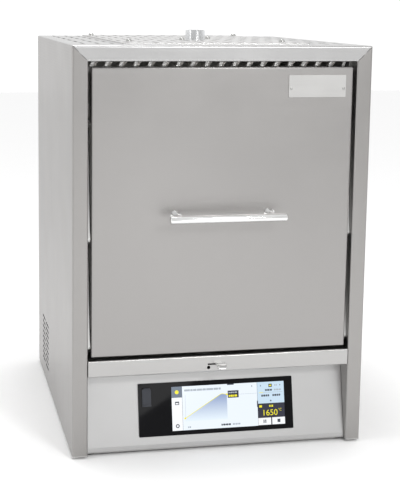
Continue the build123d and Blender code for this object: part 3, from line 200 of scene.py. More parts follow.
def powderPaint(name, tint, roughness, fleck):
    # moulded, cast or coated finishes: a fine pebble and a slow change of tone
    paint = Paint(name)
    pebble = paint.noise(powderLook["pebble"], 3, 0.6)
    clouds = paint.noise(powderLook["clouds"], 3)
    shade = 1 + (clouds - 0.5) * fleck + (pebble - 0.5) * fleck
    rough = roughness + (pebble - 0.5) * powderLook["dull"]
    return paint.finish(Base_Color=paint.tone(tint, shade), Roughness=rough,
                        Normal=paint.bump(pebble, *powderLook["bump"]))


powderLooks = {
    "black_plastic": ((0.022, 0.022, 0.024), 0.5, 0.4),
    "inlet_plastic": ((0.018, 0.018, 0.019), 0.45, 0.4),
    "rocker_plastic": ((0.03, 0.03, 0.032), 0.35, 0.3),
    "socket_plastic": ((0.012, 0.013, 0.016), 0.4, 0.3),
    "cover_rubber": ((0.02, 0.023, 0.032), 0.42, 0.3),
    "foot_rubber": ((0.02, 0.02, 0.02), 0.7, 0.5),
    "washer_plastic": ((0.75, 0.74, 0.70), 0.4, 0.1),
    "alumina": ((0.80, 0.78, 0.72), 0.45, 0.08),
    "holder_ceramic": ((0.78, 0.74, 0.66), 0.6, 0.12),
    "element_ceramic": ((0.16, 0.15, 0.15), 0.35, 0.3),
    "board_green": ((0.02, 0.12, 0.05), 0.35, 0.3),
}


glassLook = {"tint": (0.006, 0.006, 0.007), "smear": 22, "roughness": 0.03, "shine": 0.08}


def glassPaint():
    # black glass with a faint smear
    paint = Paint("black_glass")
    smear = paint.noise(glassLook["smear"], 3)
    return paint.finish(Base_Color=paint.tone(glassLook["tint"], 0.8 + smear * 0.4),
                        Roughness=glassLook["roughness"] + smear * 0.03,
                        Specular_IOR_Level=glassLook["shine"])


matLook = {
    "finer": 7,          # how many times finer the fibres between are
    "coarse": 0.6,       # share of the coarse ones
    "clouds": 25,
    "roughness": 0.92,
    "bump": (0.55, 0.0012),
}


def fibrePaint(name, tint, scale):
    # matted fibres, coarse ones with finer ones between
    paint = Paint(name)
    coarse = matLook["coarse"]
    between = paint.noise(scale * matLook["finer"], 3, 0.6)
    fibres = paint.noise(scale, 4, 0.6) * coarse + between * (1 - coarse)
    shade = 0.9 + fibres * 0.12 + paint.noise(matLook["clouds"], 3) * 0.08
    return paint.finish(Base_Color=paint.tone(tint, shade), Roughness=matLook["roughness"],
                        Normal=paint.bump(fibres, *matLook["bump"]))


coilLook = {"tint": (0.62, 0.25, 0.12), "turns": 95, "clouds": 40, "roughness": 0.3, "bump": (0.8, 0.0008)}


def copperPaint():
    # lacquered wire wound in rows
    paint = Paint("coil_copper")
    turns = paint.waves(coilLook["turns"], "Z")
    clouds = paint.noise(coilLook["clouds"], 3)
    # the colour darkens between the turns: painted shade in the grooves between the wires
    return paint.finish(Base_Color=paint.tone(coilLook["tint"], 0.6 + turns * 0.4 + clouds * 0.1),
                        Metallic=0.8, Roughness=coilLook["roughness"] + clouds * 0.1,
                        Normal=paint.bump(turns, *coilLook["bump"]))


finishes = {name: steelPaint(name, *look) for name, look in steelLooks.items()}
finishes.update({name: powderPaint(name, *look) for name, look in powderLooks.items()})
finishes["black_glass"] = glassPaint()
finishes["screen_face"] = powderPaint("screen_face", (0.01, 0.01, 0.012), 0.12, 0.1)
finishes["fibre_board"] = fibrePaint("fibre_board", (0.86, 0.84, 0.79), 500)
finishes["fibre_rope"] = fibrePaint("fibre_rope", (0.84, 0.81, 0.74), 700)
finishes["coil_copper"] = copperPaint()
toneAndShadeFinish = {
    # parts given another tone than the rest of their kind: partly the sheet's own tone, partly painted light
    # and shade
    "side_panel_left": "side_steel", "side_panel_right": "side_steel",
    "top_cover": "header_steel", "front_rail": "rail_steel",
}
for name, part in parts.items():
    for holder in part.material_slots:
        holder.material = finishes[toneAndShadeFinish.get(name, holder.material.name.split(".")[0])]
print("materials made:", len(finishes))

mouthLook = {
    "steel": (0.52, 0.51, 0.49),
    "straw": (0.50, 0.41, 0.29),
    "halfWidth": 0.055,
    "halfHeight": 0.060,
    "middle": 0.285,
    "spread": 0.075,     # how far past the mouth the tint fades out
    "wander": 0.03,
    "strength": 0.6,
    "clouds": 18,
    "brush": (8, 400, 400),
    "roughness": 0.33,
    "bump": (0.15, 0.0002),
}


def mouthPaint(name):
    # bright sheet that has taken a straw tint round the hot opening
    paint = Paint(name)
    across = paint.maths("ABSOLUTE", paint.coordinate(0)) - mouthLook["halfWidth"]
    above = paint.maths("ABSOLUTE", paint.coordinate(2) - mouthLook["middle"]) - mouthLook["halfHeight"]
    clouds = paint.noise(mouthLook["clouds"], 3)
    reach = paint.maths("MAXIMUM", across, above) + clouds * mouthLook["wander"]
    heat = paint.limit(1 - reach / mouthLook["spread"]) * mouthLook["strength"]
    streaks = paint.brushed(mouthLook["brush"])
    grey = paint.tone(mouthLook["steel"], 0.95 + streaks * 0.08 + clouds * 0.05)
    return paint.finish(Base_Color=paint.mix(heat, grey, mouthLook["straw"]), Metallic=1.0,
                        Roughness=mouthLook["roughness"] + streaks * 0.08,
                        Normal=paint.bump(streaks, *mouthLook["bump"]))


for name in ("mouth_frame", "door_liner"):
    parts[name].material_slots[0].material = mouthPaint(name + "Steel")


def placed(name, mesh, body):
    # puts a finished mesh in the scene, where it moves with a body
    piece = bpy.data.objects.new(name, mesh)
    bpy.context.scene.collection.objects.link(piece)
    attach(piece, body)
    return piece


def newPiece(name, build, paints, body, smooth=True):
    # build fills a bmesh in metres, in the furnace's own frame; paints are its material slots
    shape = bmesh.new()
    build(shape)
    bmesh.ops.recalc_face_normals(shape, faces=shape.faces[:])
    mesh = bpy.data.meshes.new(name)
    shape.to_mesh(mesh)
    shape.free()
    for paint in paints:
        mesh.materials.append(paint)
    for face in mesh.polygons:
        face.use_smooth = smooth
    if smooth:
        mesh.set_sharp_from_angle(angle=math.radians(meshLook["sharp"]))
    return placed(name, mesh, body)


def facingFace(part, towards):
    # the biggest flat face of a part that looks along a direction
    faces = [face for face in part.data.polygons if face.normal.dot(towards) > meshLook["facing"]]
    return max(faces, key=lambda face: face.area)


displayLook = {
    "lift": 0.00006,     # between one layer of the picture and the next
    "white": (0.95, 0.97, 1.0),
    "chart": (0.86, 0.93, 1.0),
    "pale": (0.60, 0.76, 0.90),
    "tile": (0.13, 0.17, 0.23),
    "navy": (0.012, 0.014, 0.035),
    "yellow": (0.95, 0.85, 0.01),
    "ink": (0.03, 0.04, 0.06),
    "grey": (0.42, 0.47, 0.53),
}


screenGlow = {"Base_Color": (0.01, 0.01, 0.01), "Roughness": 0.15, "Emission_Strength": 1.0}


def displayPaint(name, tint):
    # a lit screen colour with its fine dot grid
    paint = Paint(name)
    grid = paint.waves(900, "X") * paint.waves(900, "Z")
    return paint.finish(**screenGlow, Emission_Color=paint.tone(tint, 0.97 + grid * 0.05))


displayTints = ["white", "chart", "pale", "tile", "navy", "yellow", "ink", "grey"]
displayPaints = [displayPaint("screen" + key.capitalize(), displayLook[key]) for key in displayTints]

screen = parts["screen"]
screenFace = facingFace(screen, Vector((0, -1, 0.22)).normalized())
screenNormal = screenFace.normal.copy()
screenRight = Vector((1, 0, 0))
screenUp = screenNormal.cross(screenRight).normalized()
corners = [screen.data.vertices[index].co for index in screenFace.vertices]
screenStart = min(corners, key=lambda c: c.dot(screenRight) + c.dot(screenUp)).copy()
screenWidth = max((c - screenStart).dot(screenRight) for c in corners)
screenHeight = max((c - screenStart).dot(screenUp) for c in corners)
print("screen", round(screenWidth, 4), round(screenHeight, 4))


def onScreen(across, up, layer):
    # a point on the lit screen; across and up run from 0 to 1
    place = screenStart + screenRight * across * screenWidth + screenUp * up * screenHeight
    return place + screenNormal * displayLook["lift"] * layer


def drawArea(shape, points, tint, layer):
    corners = [shape.verts.new(onScreen(across, up, layer)) for across, up in points]
    shape.faces.new(corners).material_index = displayTints.index(tint)


def drawBox(shape, left, low, right, high, tint, layer):
    drawArea(shape, [(left, low), (right, low), (right, high), (left, high)], tint, layer)


def drawLine(shape, points, width, tint, layer):
    # a line of straight strips, as wide upward as across
    ratio = screenHeight / screenWidth
    for (x1, y1), (x2, y2) in zip(points, points[1:]):
        along = Vector(((x2 - x1), (y2 - y1) * ratio)).normalized() * width / 2
        side = (-along.y, along.x / ratio)
        drawArea(shape, [(x1 + side[0], y1 + side[1]), (x2 + side[0], y2 + side[1]),
                         (x2 - side[0], y2 - side[1]), (x1 - side[0], y1 - side[1])], tint, layer)


def drawDot(shape, x, y, radius, tint, layer, sides=16):
    ratio = screenWidth / screenHeight
    turns = [step * math.tau / sides for step in range(sides)]
    drawArea(shape, [(x + radius * math.cos(turn), y + radius * ratio * math.sin(turn)) for turn in turns],
             tint, layer)


def drawMarks(shape, left, middle, widths, height, tint, layer, gap=0.004):
    # a row of short bars that stands for a line of small writing
    for width in widths:
        drawBox(shape, left, middle - height / 2, left + width, middle + height / 2, tint, layer)
        left += width + gap


programCurve = [(0.113, 0.27), (0.43, 0.775), (0.445, 0.785), (0.487, 0.765)]


def displayPicture(shape):
    # the column of keys on the left
    drawBox(shape, 0, 0, 0.091, 1, "white", 1)
    drawBox(shape, 0, 0.75, 0.091, 1, "tile", 2)
    drawDot(shape, 0.046, 0.875, 0.017, "yellow", 3)
    drawBox(shape, 0.028, 0.585, 0.064, 0.66, "ink", 2)
    drawBox(shape, 0.034, 0.60, 0.058, 0.63, "white", 3)
    drawDot(shape, 0.046, 0.105, 0.017, "ink", 2)
    drawDot(shape, 0.046, 0.105, 0.009, "white", 3)
    # the chart with its title, axis and programme curve
    drawBox(shape, 0.093, 0, 0.758, 1, "chart", 1)
    drawMarks(shape, 0.112, 0.905, [0.05, 0.02, 0.03, 0.045, 0.03, 0.06, 0.04, 0.02], 0.045, "grey", 2)
    drawBox(shape, 0.117, 0.20, 0.119, 0.80, "grey", 2)
    drawBox(shape, 0.492, 0.975, 0.552, 1.0, "ink", 2)
    for step in range(10):
        drawBox(shape, 0.600 + 0.0155 * step, 0.748, 0.610 + 0.0155 * step, 0.756, "grey", 2)
    drawLine(shape, programCurve, 0.0045, "yellow", 5)
    for x, y in (programCurve[0], programCurve[-1]):
        drawDot(shape, x, y, 0.008, "yellow", 6)
    drawBox(shape, 0.495, 0.68, 0.592, 0.845, "navy", 5)
    drawMarks(shape, 0.503, 0.80, [0.012, 0.02, 0.01, 0.02], 0.03, "grey", 6)
    drawMarks(shape, 0.503, 0.725, [0.012, 0.02, 0.01, 0.02], 0.045, "yellow", 6)
    drawBox(shape, 0.707, 0.90, 0.716, 0.94, "grey", 2)
    drawMarks(shape, 0.135, 0.065, [0.008, 0.014], 0.035, "grey", 2)
    drawMarks(shape, 0.43, 0.075, [0.012, 0.02, 0.02, 0.02], 0.04, "ink", 2)
    drawMarks(shape, 0.53, 0.075, [0.02, 0.02, 0.02], 0.035, "grey", 2)
    # the pale field of the step that runs
    drawBox(shape, 0.76, 0.505, 1, 1, "pale", 1)
    drawBox(shape, 0.862, 0.875, 0.893, 0.95, "ink", 2)
    drawMarks(shape, 0.868, 0.912, [0.018], 0.03, "yellow", 3)
    drawMarks(shape, 0.787, 0.915, [0.006], 0.03, "ink", 2)
    drawMarks(shape, 0.915, 0.915, [0.01, 0.01], 0.03, "grey", 2)
    drawMarks(shape, 0.962, 0.915, [0.006], 0.03, "ink", 2)
    drawMarks(shape, 0.83, 0.81, [0.016, 0.02, 0.018], 0.04, "ink", 2)
    drawMarks(shape, 0.91, 0.81, [0.016, 0.02, 0.018], 0.035, "grey", 2)
    drawBox(shape, 0.775, 0.752, 0.985, 0.758, "grey", 2)
    drawBox(shape, 0.775, 0.75, 0.81, 0.762, "yellow", 3)
    drawMarks(shape, 0.795, 0.685, [0.014, 0.018, 0.014, 0.012], 0.045, "ink", 2)
    drawMarks(shape, 0.895, 0.685, [0.014, 0.018, 0.014, 0.012], 0.045, "ink", 2)
    drawMarks(shape, 0.872, 0.56, [0.012], 0.03, "ink", 2)
    # the dark field of the temperature, and the two keys below it
    drawBox(shape, 0.76, 0.185, 1, 0.495, "navy", 1)
    drawBox(shape, 0.773, 0.415, 0.797, 0.465, "yellow", 2)
    drawMarks(shape, 0.862, 0.44, [0.009, 0.006, 0.012], 0.045, "yellow", 2)
    drawBox(shape, 0.753, 0.43, 0.763, 0.575, "ink", 3)
    drawBox(shape, 0.76, 0.01, 0.875, 0.172, "white", 1)
    drawBox(shape, 0.885, 0.01, 1, 0.172, "white", 1)
    drawBox(shape, 0.806, 0.055, 0.815, 0.13, "ink", 2)
    drawBox(shape, 0.822, 0.055, 0.831, 0.13, "ink", 2)
    drawBox(shape, 0.932, 0.055, 0.958, 0.13, "ink", 2)


newPiece("displayPicture", displayPicture, displayPaints, "housing", smooth=False)

fieldLook = {"foot": 0.2, "fade": (0.2, 0.78), "below": (0.80, 0.90, 0.99), "above": (0.25, 0.34, 0.58)}


def fieldPaint():
    # the shaded field under the programme curve: deep blue above, pale below
    paint = Paint("screenField")
    low, high = (onScreen(0.3, up, 1).z for up in fieldLook["fade"])
    share = paint.limit((paint.coordinate(2) - low) / (high - low))
    return paint.finish(**screenGlow, Emission_Color=paint.mix(share, fieldLook["below"], fieldLook["above"]))


def displayField(shape):
    foot = fieldLook["foot"]
    points = [(programCurve[0][0], foot), (programCurve[-1][0], foot)] + programCurve[::-1]
    shape.faces.new([shape.verts.new(onScreen(across, up, 3)) for across, up in points])


newPiece("displayField", displayField, [fieldPaint()], "housing", smooth=False)


def writing(name, words, across, up, height, tint, layer):
    # figures on the lit screen, as flat mesh
    curve = bpy.data.curves.new(name, "FONT")
    curve.body = words
    curve.size = height
    text = bpy.data.objects.new(name, curve)
    bpy.context.scene.collection.objects.link(text)
    bpy.context.view_layer.update()
    mesh = bpy.data.meshes.new_from_object(text.evaluated_get(bpy.context.evaluated_depsgraph_get()))
    bpy.data.objects.remove(text)
    turn = Matrix((screenRight, screenUp, screenNormal)).transposed().to_4x4()
    mesh.transform(Matrix.Translation(onScreen(across, up, layer)) @ turn)
    mesh.materials.clear()
    mesh.materials.append(displayPaints[displayTints.index(tint)])
    placed(name, mesh, "housing")


writing("displayFigures", "1650", 0.795, 0.225, 0.0108, "yellow", 3)
writing("displayDegrees", "\u00b0C", 0.94, 0.32, 0.0045, "yellow", 3)
print("display drawn")


def solidsOf(part):
    # the lowest and highest corners of each separate solid of a part
    shape = bmesh.new()
    shape.from_mesh(part.data)
    bmesh.ops.remove_doubles(shape, verts=shape.verts, dist=meshLook["weld"])
    boxes, seen = [], set()
    for start in shape.verts:
        if start in seen:
            continue
        seen.add(start)
        group, edge = [], [start]
        while edge:
            corner = edge.pop()
            group.append(corner.co.copy())
            for line in corner.link_edges:
                other = line.other_vert(corner)
                if other not in seen:
                    seen.add(other)
                    edge.append(other)
        boxes.append((Vector([min(co[i] for co in group) for i in range(3)]),
                      Vector([max(co[i] for co in group) for i in range(3)])))
    shape.free()
    return boxes


def bridge(shape, rows, closed=False):
    # faces between rows of corners, with a cap at each free end
    pairs = list(zip(rows, rows[1:]))
    if closed:
        pairs.append((rows[-1], rows[0]))
    for row, following in pairs:
        for step in range(len(row)):
            after = (step + 1) % len(row)
            shape.faces.new((row[step], row[after], following[after], following[step]))
    if not closed:
        shape.faces.new(rows[0][::-1])
        shape.faces.new(rows[-1])


def turned(shape, place, axis, rings, sides=24):
    # a turned or pressed piece: each ring is a radius, a height along the axis
    # and its number of flats, where 0 is round
    axis = Vector(axis)
    side = axis.orthogonal().normalized()
    other = axis.cross(side)
    rows = []
    for radius, height, flats in rings:
        row = []
        for step in range(sides):
            angle = step * math.tau / sides
            reach = radius
            if flats:
                flat = math.tau / flats
                reach = radius / math.cos(angle % flat - flat / 2)
            away = side * math.cos(angle) + other * math.sin(angle)
            row.append(shape.verts.new(Vector(place) + axis * height + away * reach))
        rows.append(row)
    bridge(shape, rows)


def circle(radius, sides=16):
    turns = [step * math.tau / sides for step in range(sides)]
    return [(radius * math.cos(turn), radius * math.sin(turn)) for turn in turns]


def sweep(shape, path, side, section, closed=False):
    # a section carried along points that lie in a plane across the side vector
    side = Vector(side)
    rows = []
    count = len(path)
    for index, place in enumerate(path):
        before = path[index - 1] if closed else path[max(index - 1, 0)]
        after = path[(index + 1) % count] if closed else path[min(index + 1, count - 1)]
        other = (after - before).cross(side).normalized()
        rows.append([shape.verts.new(place + side * a + other * b) for a, b in section(index)])
    bridge(shape, rows, closed)


socketHead = [
    # a screw's head as shares of its radius and height, and its flats
    (1.0, 0.0, 0), (1.0, 0.22, 0), (0.97, 0.42, 0), (0.88, 0.68, 0), (0.74, 0.90, 0),
    (0.60, 1.0, 0), (0.48, 1.0, 6), (0.46, 0.92, 6), (0.45, 0.35, 6),
]
domedHead = [(1.0, 0.0, 0), (1.0, 0.35, 0), (0.9, 0.65, 0), (0.65, 0.9, 0), (0.3, 1.0, 0)]


def screwHeads(shape, boxes, outward, head):
    outward = Vector(outward)
    for low, high in boxes:
        size = high - low
        height = abs(size.dot(outward))
        radius = (sum(size) - height) / 4
        seat = (low + high) / 2 - outward * height / 2
        turned(shape, seat, outward, [(radius * wide, height * tall, flats) for wide, tall, flats in head])


def casingScrews(shape):
    boxes = solidsOf(parts["casing_screws"])
    onTop = [box for box in boxes if box[0].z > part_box("top_cover_plate")[0].z]
    screwHeads(shape, onTop, (0, 0, 1), socketHead)
    screwHeads(shape, [box for box in boxes if box not in onTop], (0, 1, 0), socketHead)


def doorScrews(shape):
    boxes = solidsOf(parts["door_screws"])
    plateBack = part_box("blank_plate")[1].y
    onPlate = [box for box in boxes if box[0].y < plateBack]
    screwHeads(shape, onPlate, (0, -1, 0), domedHead)
    screwHeads(shape, [box for box in boxes if box not in onPlate], (0, 1, 0), socketHead)


screws = [finishes["screw_steel"]]
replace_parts(newPiece("casingScrews", casingScrews, screws, "housing"), "casing_screws")
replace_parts(newPiece("doorScrews", doorScrews, screws, "door"), "door_screws")

ropeLook = {
    "plait": 0.009,      # length of one turn of the plait
    "strands": 3,
    "depth": 0.22,       # how deep the strands part, as a share
    "half": 0.006,       # half the rope's width
    "square": 0.7,       # below 1 its sides are flatter than an ellipse
    "corner": 0.007,
    "cornerSteps": 6,
    "step": 0.0011,
    "sides": 20,
}


def ropeOutline(reachX, reachZ):
    # a rectangle with round corners, once round
    corner, steps = ropeLook["corner"], ropeLook["cornerSteps"]
    outline = []
    for turn, (signX, signZ) in enumerate(((1, 1), (-1, 1), (-1, -1), (1, -1))):
        for step in range(steps + 1):
            angle = (turn + step / steps) * math.pi / 2
            outline.append(Vector((signX * (reachX - corner) + corner * math.cos(angle), 0,
                                   signZ * (reachZ - corner) + corner * math.sin(angle))))
    return outline


def gasketRope(shape):
    # a flat plaited rope laid in a loop round the door plug
    low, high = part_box("door_gasket")
    middle = (low + high) / 2
    half = (high - low) / 2
    wide = ropeLook["half"]
    outline = ropeOutline(half.x - wide, half.z - wide)
    path = []
    for start, end in zip(outline, outline[1:] + outline[:1]):
        pieces = max(1, round((end - start).length / ropeLook["step"]))
        path += [middle + start.lerp(end, share / pieces) for share in range(pieces)]
    wave = math.tau * round(len(path) * ropeLook["step"] / ropeLook["plait"]) / len(path)

    def section(index):
        points = []
        for turn in range(ropeLook["sides"]):
            angle = turn * math.tau / ropeLook["sides"]
            over = max(math.cos(wave * index + ropeLook["strands"] * angle),
                       math.cos(wave * index - ropeLook["strands"] * angle))
            swell = 1 - ropeLook["depth"] * (1 - over) / 2
            flat = math.copysign(abs(math.cos(angle)) ** ropeLook["square"], math.cos(angle))
            points.append((half.y * swell * math.sin(angle), wide * swell * flat))
        return points

    sweep(shape, path, (0, 1, 0), section, closed=True)


rope = [finishes["fibre_rope"]]
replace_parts(newPiece("gasketRope", gasketRope, rope, "door"), "door_gasket")

elementLook = {
    "cold": 0.003,       # radius of the thick ends above
    "hot": 0.0015,       # radius of the thin legs below
    "leg": 0.0125,       # half the space between the two legs
    "shoulder": 0.332,   # height where thick becomes thin
    "taper": 0.004,
    "lip": 0.0006,
    "lipShare": 0.86,
    "bendSteps": 14,
    "sides": 18,
}


def heatingElements(shape):
    # four two-legged elements: thick cold ends above, thin hot legs and a bend below
    low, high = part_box("heating_elements")
    cold, hot, leg = elementLook["cold"], elementLook["hot"], elementLook["leg"]
    shoulder, taper = elementLook["shoulder"], elementLook["taper"]
    bend = low.z + hot + leg
    levels = [high.z, high.z - elementLook["lip"], shoulder + taper, shoulder - taper, (shoulder + bend) / 2]
    radii = [cold * elementLook["lipShare"], cold, cold, hot, hot]
    arc = [math.pi * step / elementLook["bendSteps"] for step in range(elementLook["bendSteps"] + 1)]
    thick = radii + [hot] * len(arc) + radii[::-1]
    for x in (low.x + cold, high.x - cold):
        for y in (low.y + cold + leg, high.y - cold - leg):
            path = [Vector((x, y - leg, level)) for level in levels]
            path += [Vector((x, y - leg * math.cos(turn), bend - leg * math.sin(turn))) for turn in arc]
            path += [Vector((x, y + leg, level)) for level in levels[::-1]]
            sweep(shape, path, (1, 0, 0), lambda index: circle(thick[index], elementLook["sides"]))


ceramic = [finishes["element_ceramic"]]
elements = newPiece("heatingElements", heatingElements, ceramic, "housing")
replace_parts(elements, "heating_elements")

guardLook = {
    "rings": 3,
    "bore": 0.023,       # radius of the widest ring
    "ringSteps": 48,
    "sides": 12,
    "spokes": (45, 135),
    "reach": 0.030,      # from the middle to a screw
    "ear": 0.004,
}
guardEar = [
    # a flattened ear and its screw, as shares of the ear's and the wire's radius, and flats
    (1.0, 0.0, 0), (1.0, 1.2, 0), (0.5, 1.2, 0), (0.45, 2.0, 0), (0.25, 2.0, 6), (0.25, 1.4, 6),
]


def fanGuard(shape):
    # round wire rings and spokes with flattened ears at the screws
    low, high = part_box("fan_guard")
    middle = (low + high) / 2
    wire = (high.y - low.y) / 2

    def section(index): return circle(wire, guardLook["sides"])

    for ring in range(guardLook["rings"]):
        radius = guardLook["bore"] * (ring + 1) / guardLook["rings"]
        path = [middle + Vector((x, 0, z)) for x, z in circle(radius, guardLook["ringSteps"])]
        sweep(shape, path, (0, 1, 0), section, closed=True)
    for turn in guardLook["spokes"]:
        angle = math.radians(turn)
        reach = Vector((math.cos(angle), 0, math.sin(angle))) * guardLook["reach"]
        sweep(shape, [middle - reach, middle, middle + reach], (0, 1, 0), section)
        for end in (-reach, reach):
            seat = middle + end - Vector((0, wire, 0))
            rings = [(guardLook["ear"] * wide, wire * tall, flats) for wide, tall, flats in guardEar]
            turned(shape, seat, (0, 1, 0), rings)


guard = newPiece("fanGuard", fanGuard, [finishes["guard_wire"]], "housing")
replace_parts(guard, "fan_guard")

ventLook = {
    "depth": 0.0045,     # from the strip's face to its tongues
    "sheet": 0.0007,
    "first": -0.1690,    # left foot of the first tongue
    "pitch": 0.0182,
    "wide": 0.0085,
    "lean": 0.0075,
    "foot": 0.0048,
    "head": 0.0160,
    "count": 19,
    "end": 0.002,        # clear of the strip's right end
}


def ventTongues(shape):
    # the slanted tongue that each cell of the vent strip is bent back into
    low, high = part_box("vent_strip")
    front = low.y + ventLook["depth"]
    bottom, top = low.z + ventLook["foot"], low.z + ventLook["head"]
    lean = ventLook["lean"]
    for index in range(ventLook["count"]):
        left = ventLook["first"] + ventLook["pitch"] * index
        right = left + ventLook["wide"]
        if right + lean > high.x - ventLook["end"]:
            continue
        corners = [(left, bottom), (right, bottom), (right + lean, top), (left + lean, top)]
        rows = [[shape.verts.new((x, y, z)) for x, z in corners] for y in (front, front + ventLook["sheet"])]
        bridge(shape, rows)


newPiece("ventTongues", ventTongues, [finishes["tongue_steel"]], "housing", smooth=False)

pinLook = {
    "cover": 0.00006,    # thickness of the plating
    "widest": 0.003,     # no pin is wider than this
    "tip": 0.3,          # length of the tip as a share of the pin's thickness
}


def inletPins(shape):
    # plated faces of the three contact pins in the mains socket
    skin = pinLook["cover"]
    for low, high in solidsOf(parts["mains_inlet"]):
        if (high - low).x > pinLook["widest"]:
            continue
        left, right, under, over = low.x - skin, high.x + skin, low.z - skin, high.z + skin
        tip = min(right - left, over - under) * pinLook["tip"]
        rows = []
        for y, inset in ((low.y, 0), (high.y - tip, 0), (high.y + skin, tip)):
            rows.append([shape.verts.new((x, y, z)) for x, z in (
                (left + inset, under + inset), (right - inset, under + inset),
                (right - inset, over - inset), (left + inset, over - inset))])
        bridge(shape, rows)


newPiece("inletPins", inletPins, [finishes["bright_steel"]], "housing", smooth=False)

handleLook = {"endSteps": 6, "endShare": 0.55, "endRound": 0.35, "sides": 40}


def handleBar(shape):
    # a round polished bar with its ends turned over
    low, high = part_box("handle_bar")
    middle = (low + high) / 2
    radius = (high.z - low.z) / 2
    length = high.x - low.x
    flat = handleLook["endShare"]
    rings = []
    for step in range(handleLook["endSteps"] + 1):
        turn = math.pi / 2 * step / handleLook["endSteps"]
        rings.append((radius * (flat + (1 - flat) * math.sin(turn)),
                      radius * handleLook["endRound"] * (1 - math.cos(turn)), 0))
    rings += [(reach, length - height, flats) for reach, height, flats in rings[::-1]]
    turned(shape, Vector((low.x, middle.y, middle.z)), (1, 0, 0), rings, handleLook["sides"])


bar = newPiece("handleBar", handleBar, [finishes["polished_steel"]], "door")
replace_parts(bar, "handle_bar")

rockerLook = {
    "broad": 0.00002,    # only faces larger than this carry a mark
    "upward": 0.2,       # the half whose face looks up more than this is the lower one
    "lift": 0.00006,
    "line": (0.0009, 0.0036),
    "ring": (0.0020, 0.0013),
    "sides": 32,
    "tint": (0.80, 0.80, 0.77),
}


def rockerMarks(shape):
    # the line and the ring printed on the two halves of the rocker
    part = parts["switch_rocker"]
    across = Vector((-1, 0, 0))
    sides = rockerLook["sides"]
    broad = [face for face in part.data.polygons
             if face.normal.y > meshLook["facing"] and face.area > rockerLook["broad"]]
    for below in (False, True):
        faces = [face for face in broad if (face.normal.z > rockerLook["upward"]) == below]
        corners = [part.data.vertices[index].co for face in faces for index in face.vertices]
        low, high = (Vector([pick(co[i] for co in corners) for i in range(3)]) for pick in (min, max))
        middle = (low + high) / 2 + faces[0].normal * rockerLook["lift"]
        up = faces[0].normal.cross(across)
        if below:
            outer, inner = ([shape.verts.new(middle + across * x + up * z) for x, z in circle(radius, sides)]
                            for radius in rockerLook["ring"])
            for step in range(sides):
                shape.faces.new((outer[step - 1], outer[step], inner[step], inner[step - 1]))
        else:
            wide, tall = rockerLook["line"]
            shape.faces.new([shape.verts.new(middle + across * x * wide / 2 + up * z * tall / 2)
                             for x, z in ((-1, -1), (1, -1), (1, 1), (-1, 1))])


markPaint = powderPaint("mark_paint", rockerLook["tint"], 0.5, 0.06)
newPiece("rockerMarks", rockerMarks, [markPaint], "rocker", smooth=False)
print("screws, rope, elements, guard, tongues, pins, handle and marks made")

edgeLook = {
    # node: width of the worn or bent edge, steps
    "door_skin": (0.0012, 3),
    "controller_glass": (0.0005, 3),
    "controller_body": (0.0010, 2),
    "usb_cover": (0.0008, 3),
    "feet": (0.0006, 2),
    "mains_inlet": (0.0006, 2),
    "power_switch": (0.0004, 2),
    "switch_rocker": (0.0005, 3),
    "fan_frame": (0.0005, 2),
    "transformer_coil": (0.0030, 4),
    "element_holders": (0.0008, 2),
    "charging_plate": (0.0008, 3),
    "inlet_lever": (0.0002, 2),
}
for node, (width, steps) in edgeLook.items():
    weld = parts[node].modifiers.new("joined", "WELD")
    weld.merge_threshold = meshLook["weld"]
    edge = parts[node].modifiers.new("edge", "BEVEL")
    edge.width = width
    edge.segments = steps
    edge.limit_method = "ANGLE"
    edge.angle_limit = math.radians(meshLook["bend"])

print("edges rounded:", len(edgeLook))

feltLook = {"smoothings": 2, "fine": 5, "fineShare": 0.5, "mean": 0.75, "swing": 0.5}
fibreLook = {
    # node: body, voxel, how deep the surface wanders, size of its lumps
    "door_insulation": ("door", 0.0030, 0.0006, 90),
    "door_plug": ("door", 0.0020, 0.0005, 120),
    "insulation_floor": ("housing", 0.0030, 0.0006, 90),
    "insulation_roof": ("housing", 0.0025, 0.0006, 90),
    "insulation_sides": ("housing", 0.0025, 0.0006, 90),
    "insulation_rear": ("housing", 0.0025, 0.0006, 90),
}


def softened(node, body, voxel, depth, lumps):
    # a fibre block with its edges worn round and its faces a little uneven
    shape = bmesh.new()
    shape.from_mesh(parts[node].data)
    bmesh.ops.remove_doubles(shape, verts=shape.verts, dist=meshLook["weld"])
    mesh = bpy.data.meshes.new(node + "Rough")
    shape.to_mesh(mesh)
    shape.free()
    block = bpy.data.objects.new(node + "Rough", mesh)
    bpy.context.scene.collection.objects.link(block)
    remesh = block.modifiers.new("felted", "REMESH")
    remesh.mode = "VOXEL"
    remesh.voxel_size = voxel
    smooth = block.modifiers.new("worn", "SMOOTH")
    smooth.iterations = feltLook["smoothings"]
    bpy.context.view_layer.update()
    felt = bpy.data.meshes.new_from_object(block.evaluated_get(bpy.context.evaluated_depsgraph_get()))
    bpy.data.objects.remove(block)
    inward = [-corner.normal for corner in felt.vertices]
    for corner, sunk in zip(felt.vertices, inward):
        place = corner.co * lumps
        wander = noise.noise(place) + feltLook["fineShare"] * noise.noise(place * feltLook["fine"])
        corner.co += sunk * depth * (feltLook["mean"] + feltLook["swing"] * wander)
    felt.name = node + "Fibre"
    felt.materials.clear()
    felt.materials.append(finishes["fibre_board"])
    for face in felt.polygons:
        face.use_smooth = True
    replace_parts(placed(node + "Fibre", felt, body), node)


for node, look in fibreLook.items():
    softened(node, *look)
print("fibre pieces softened")


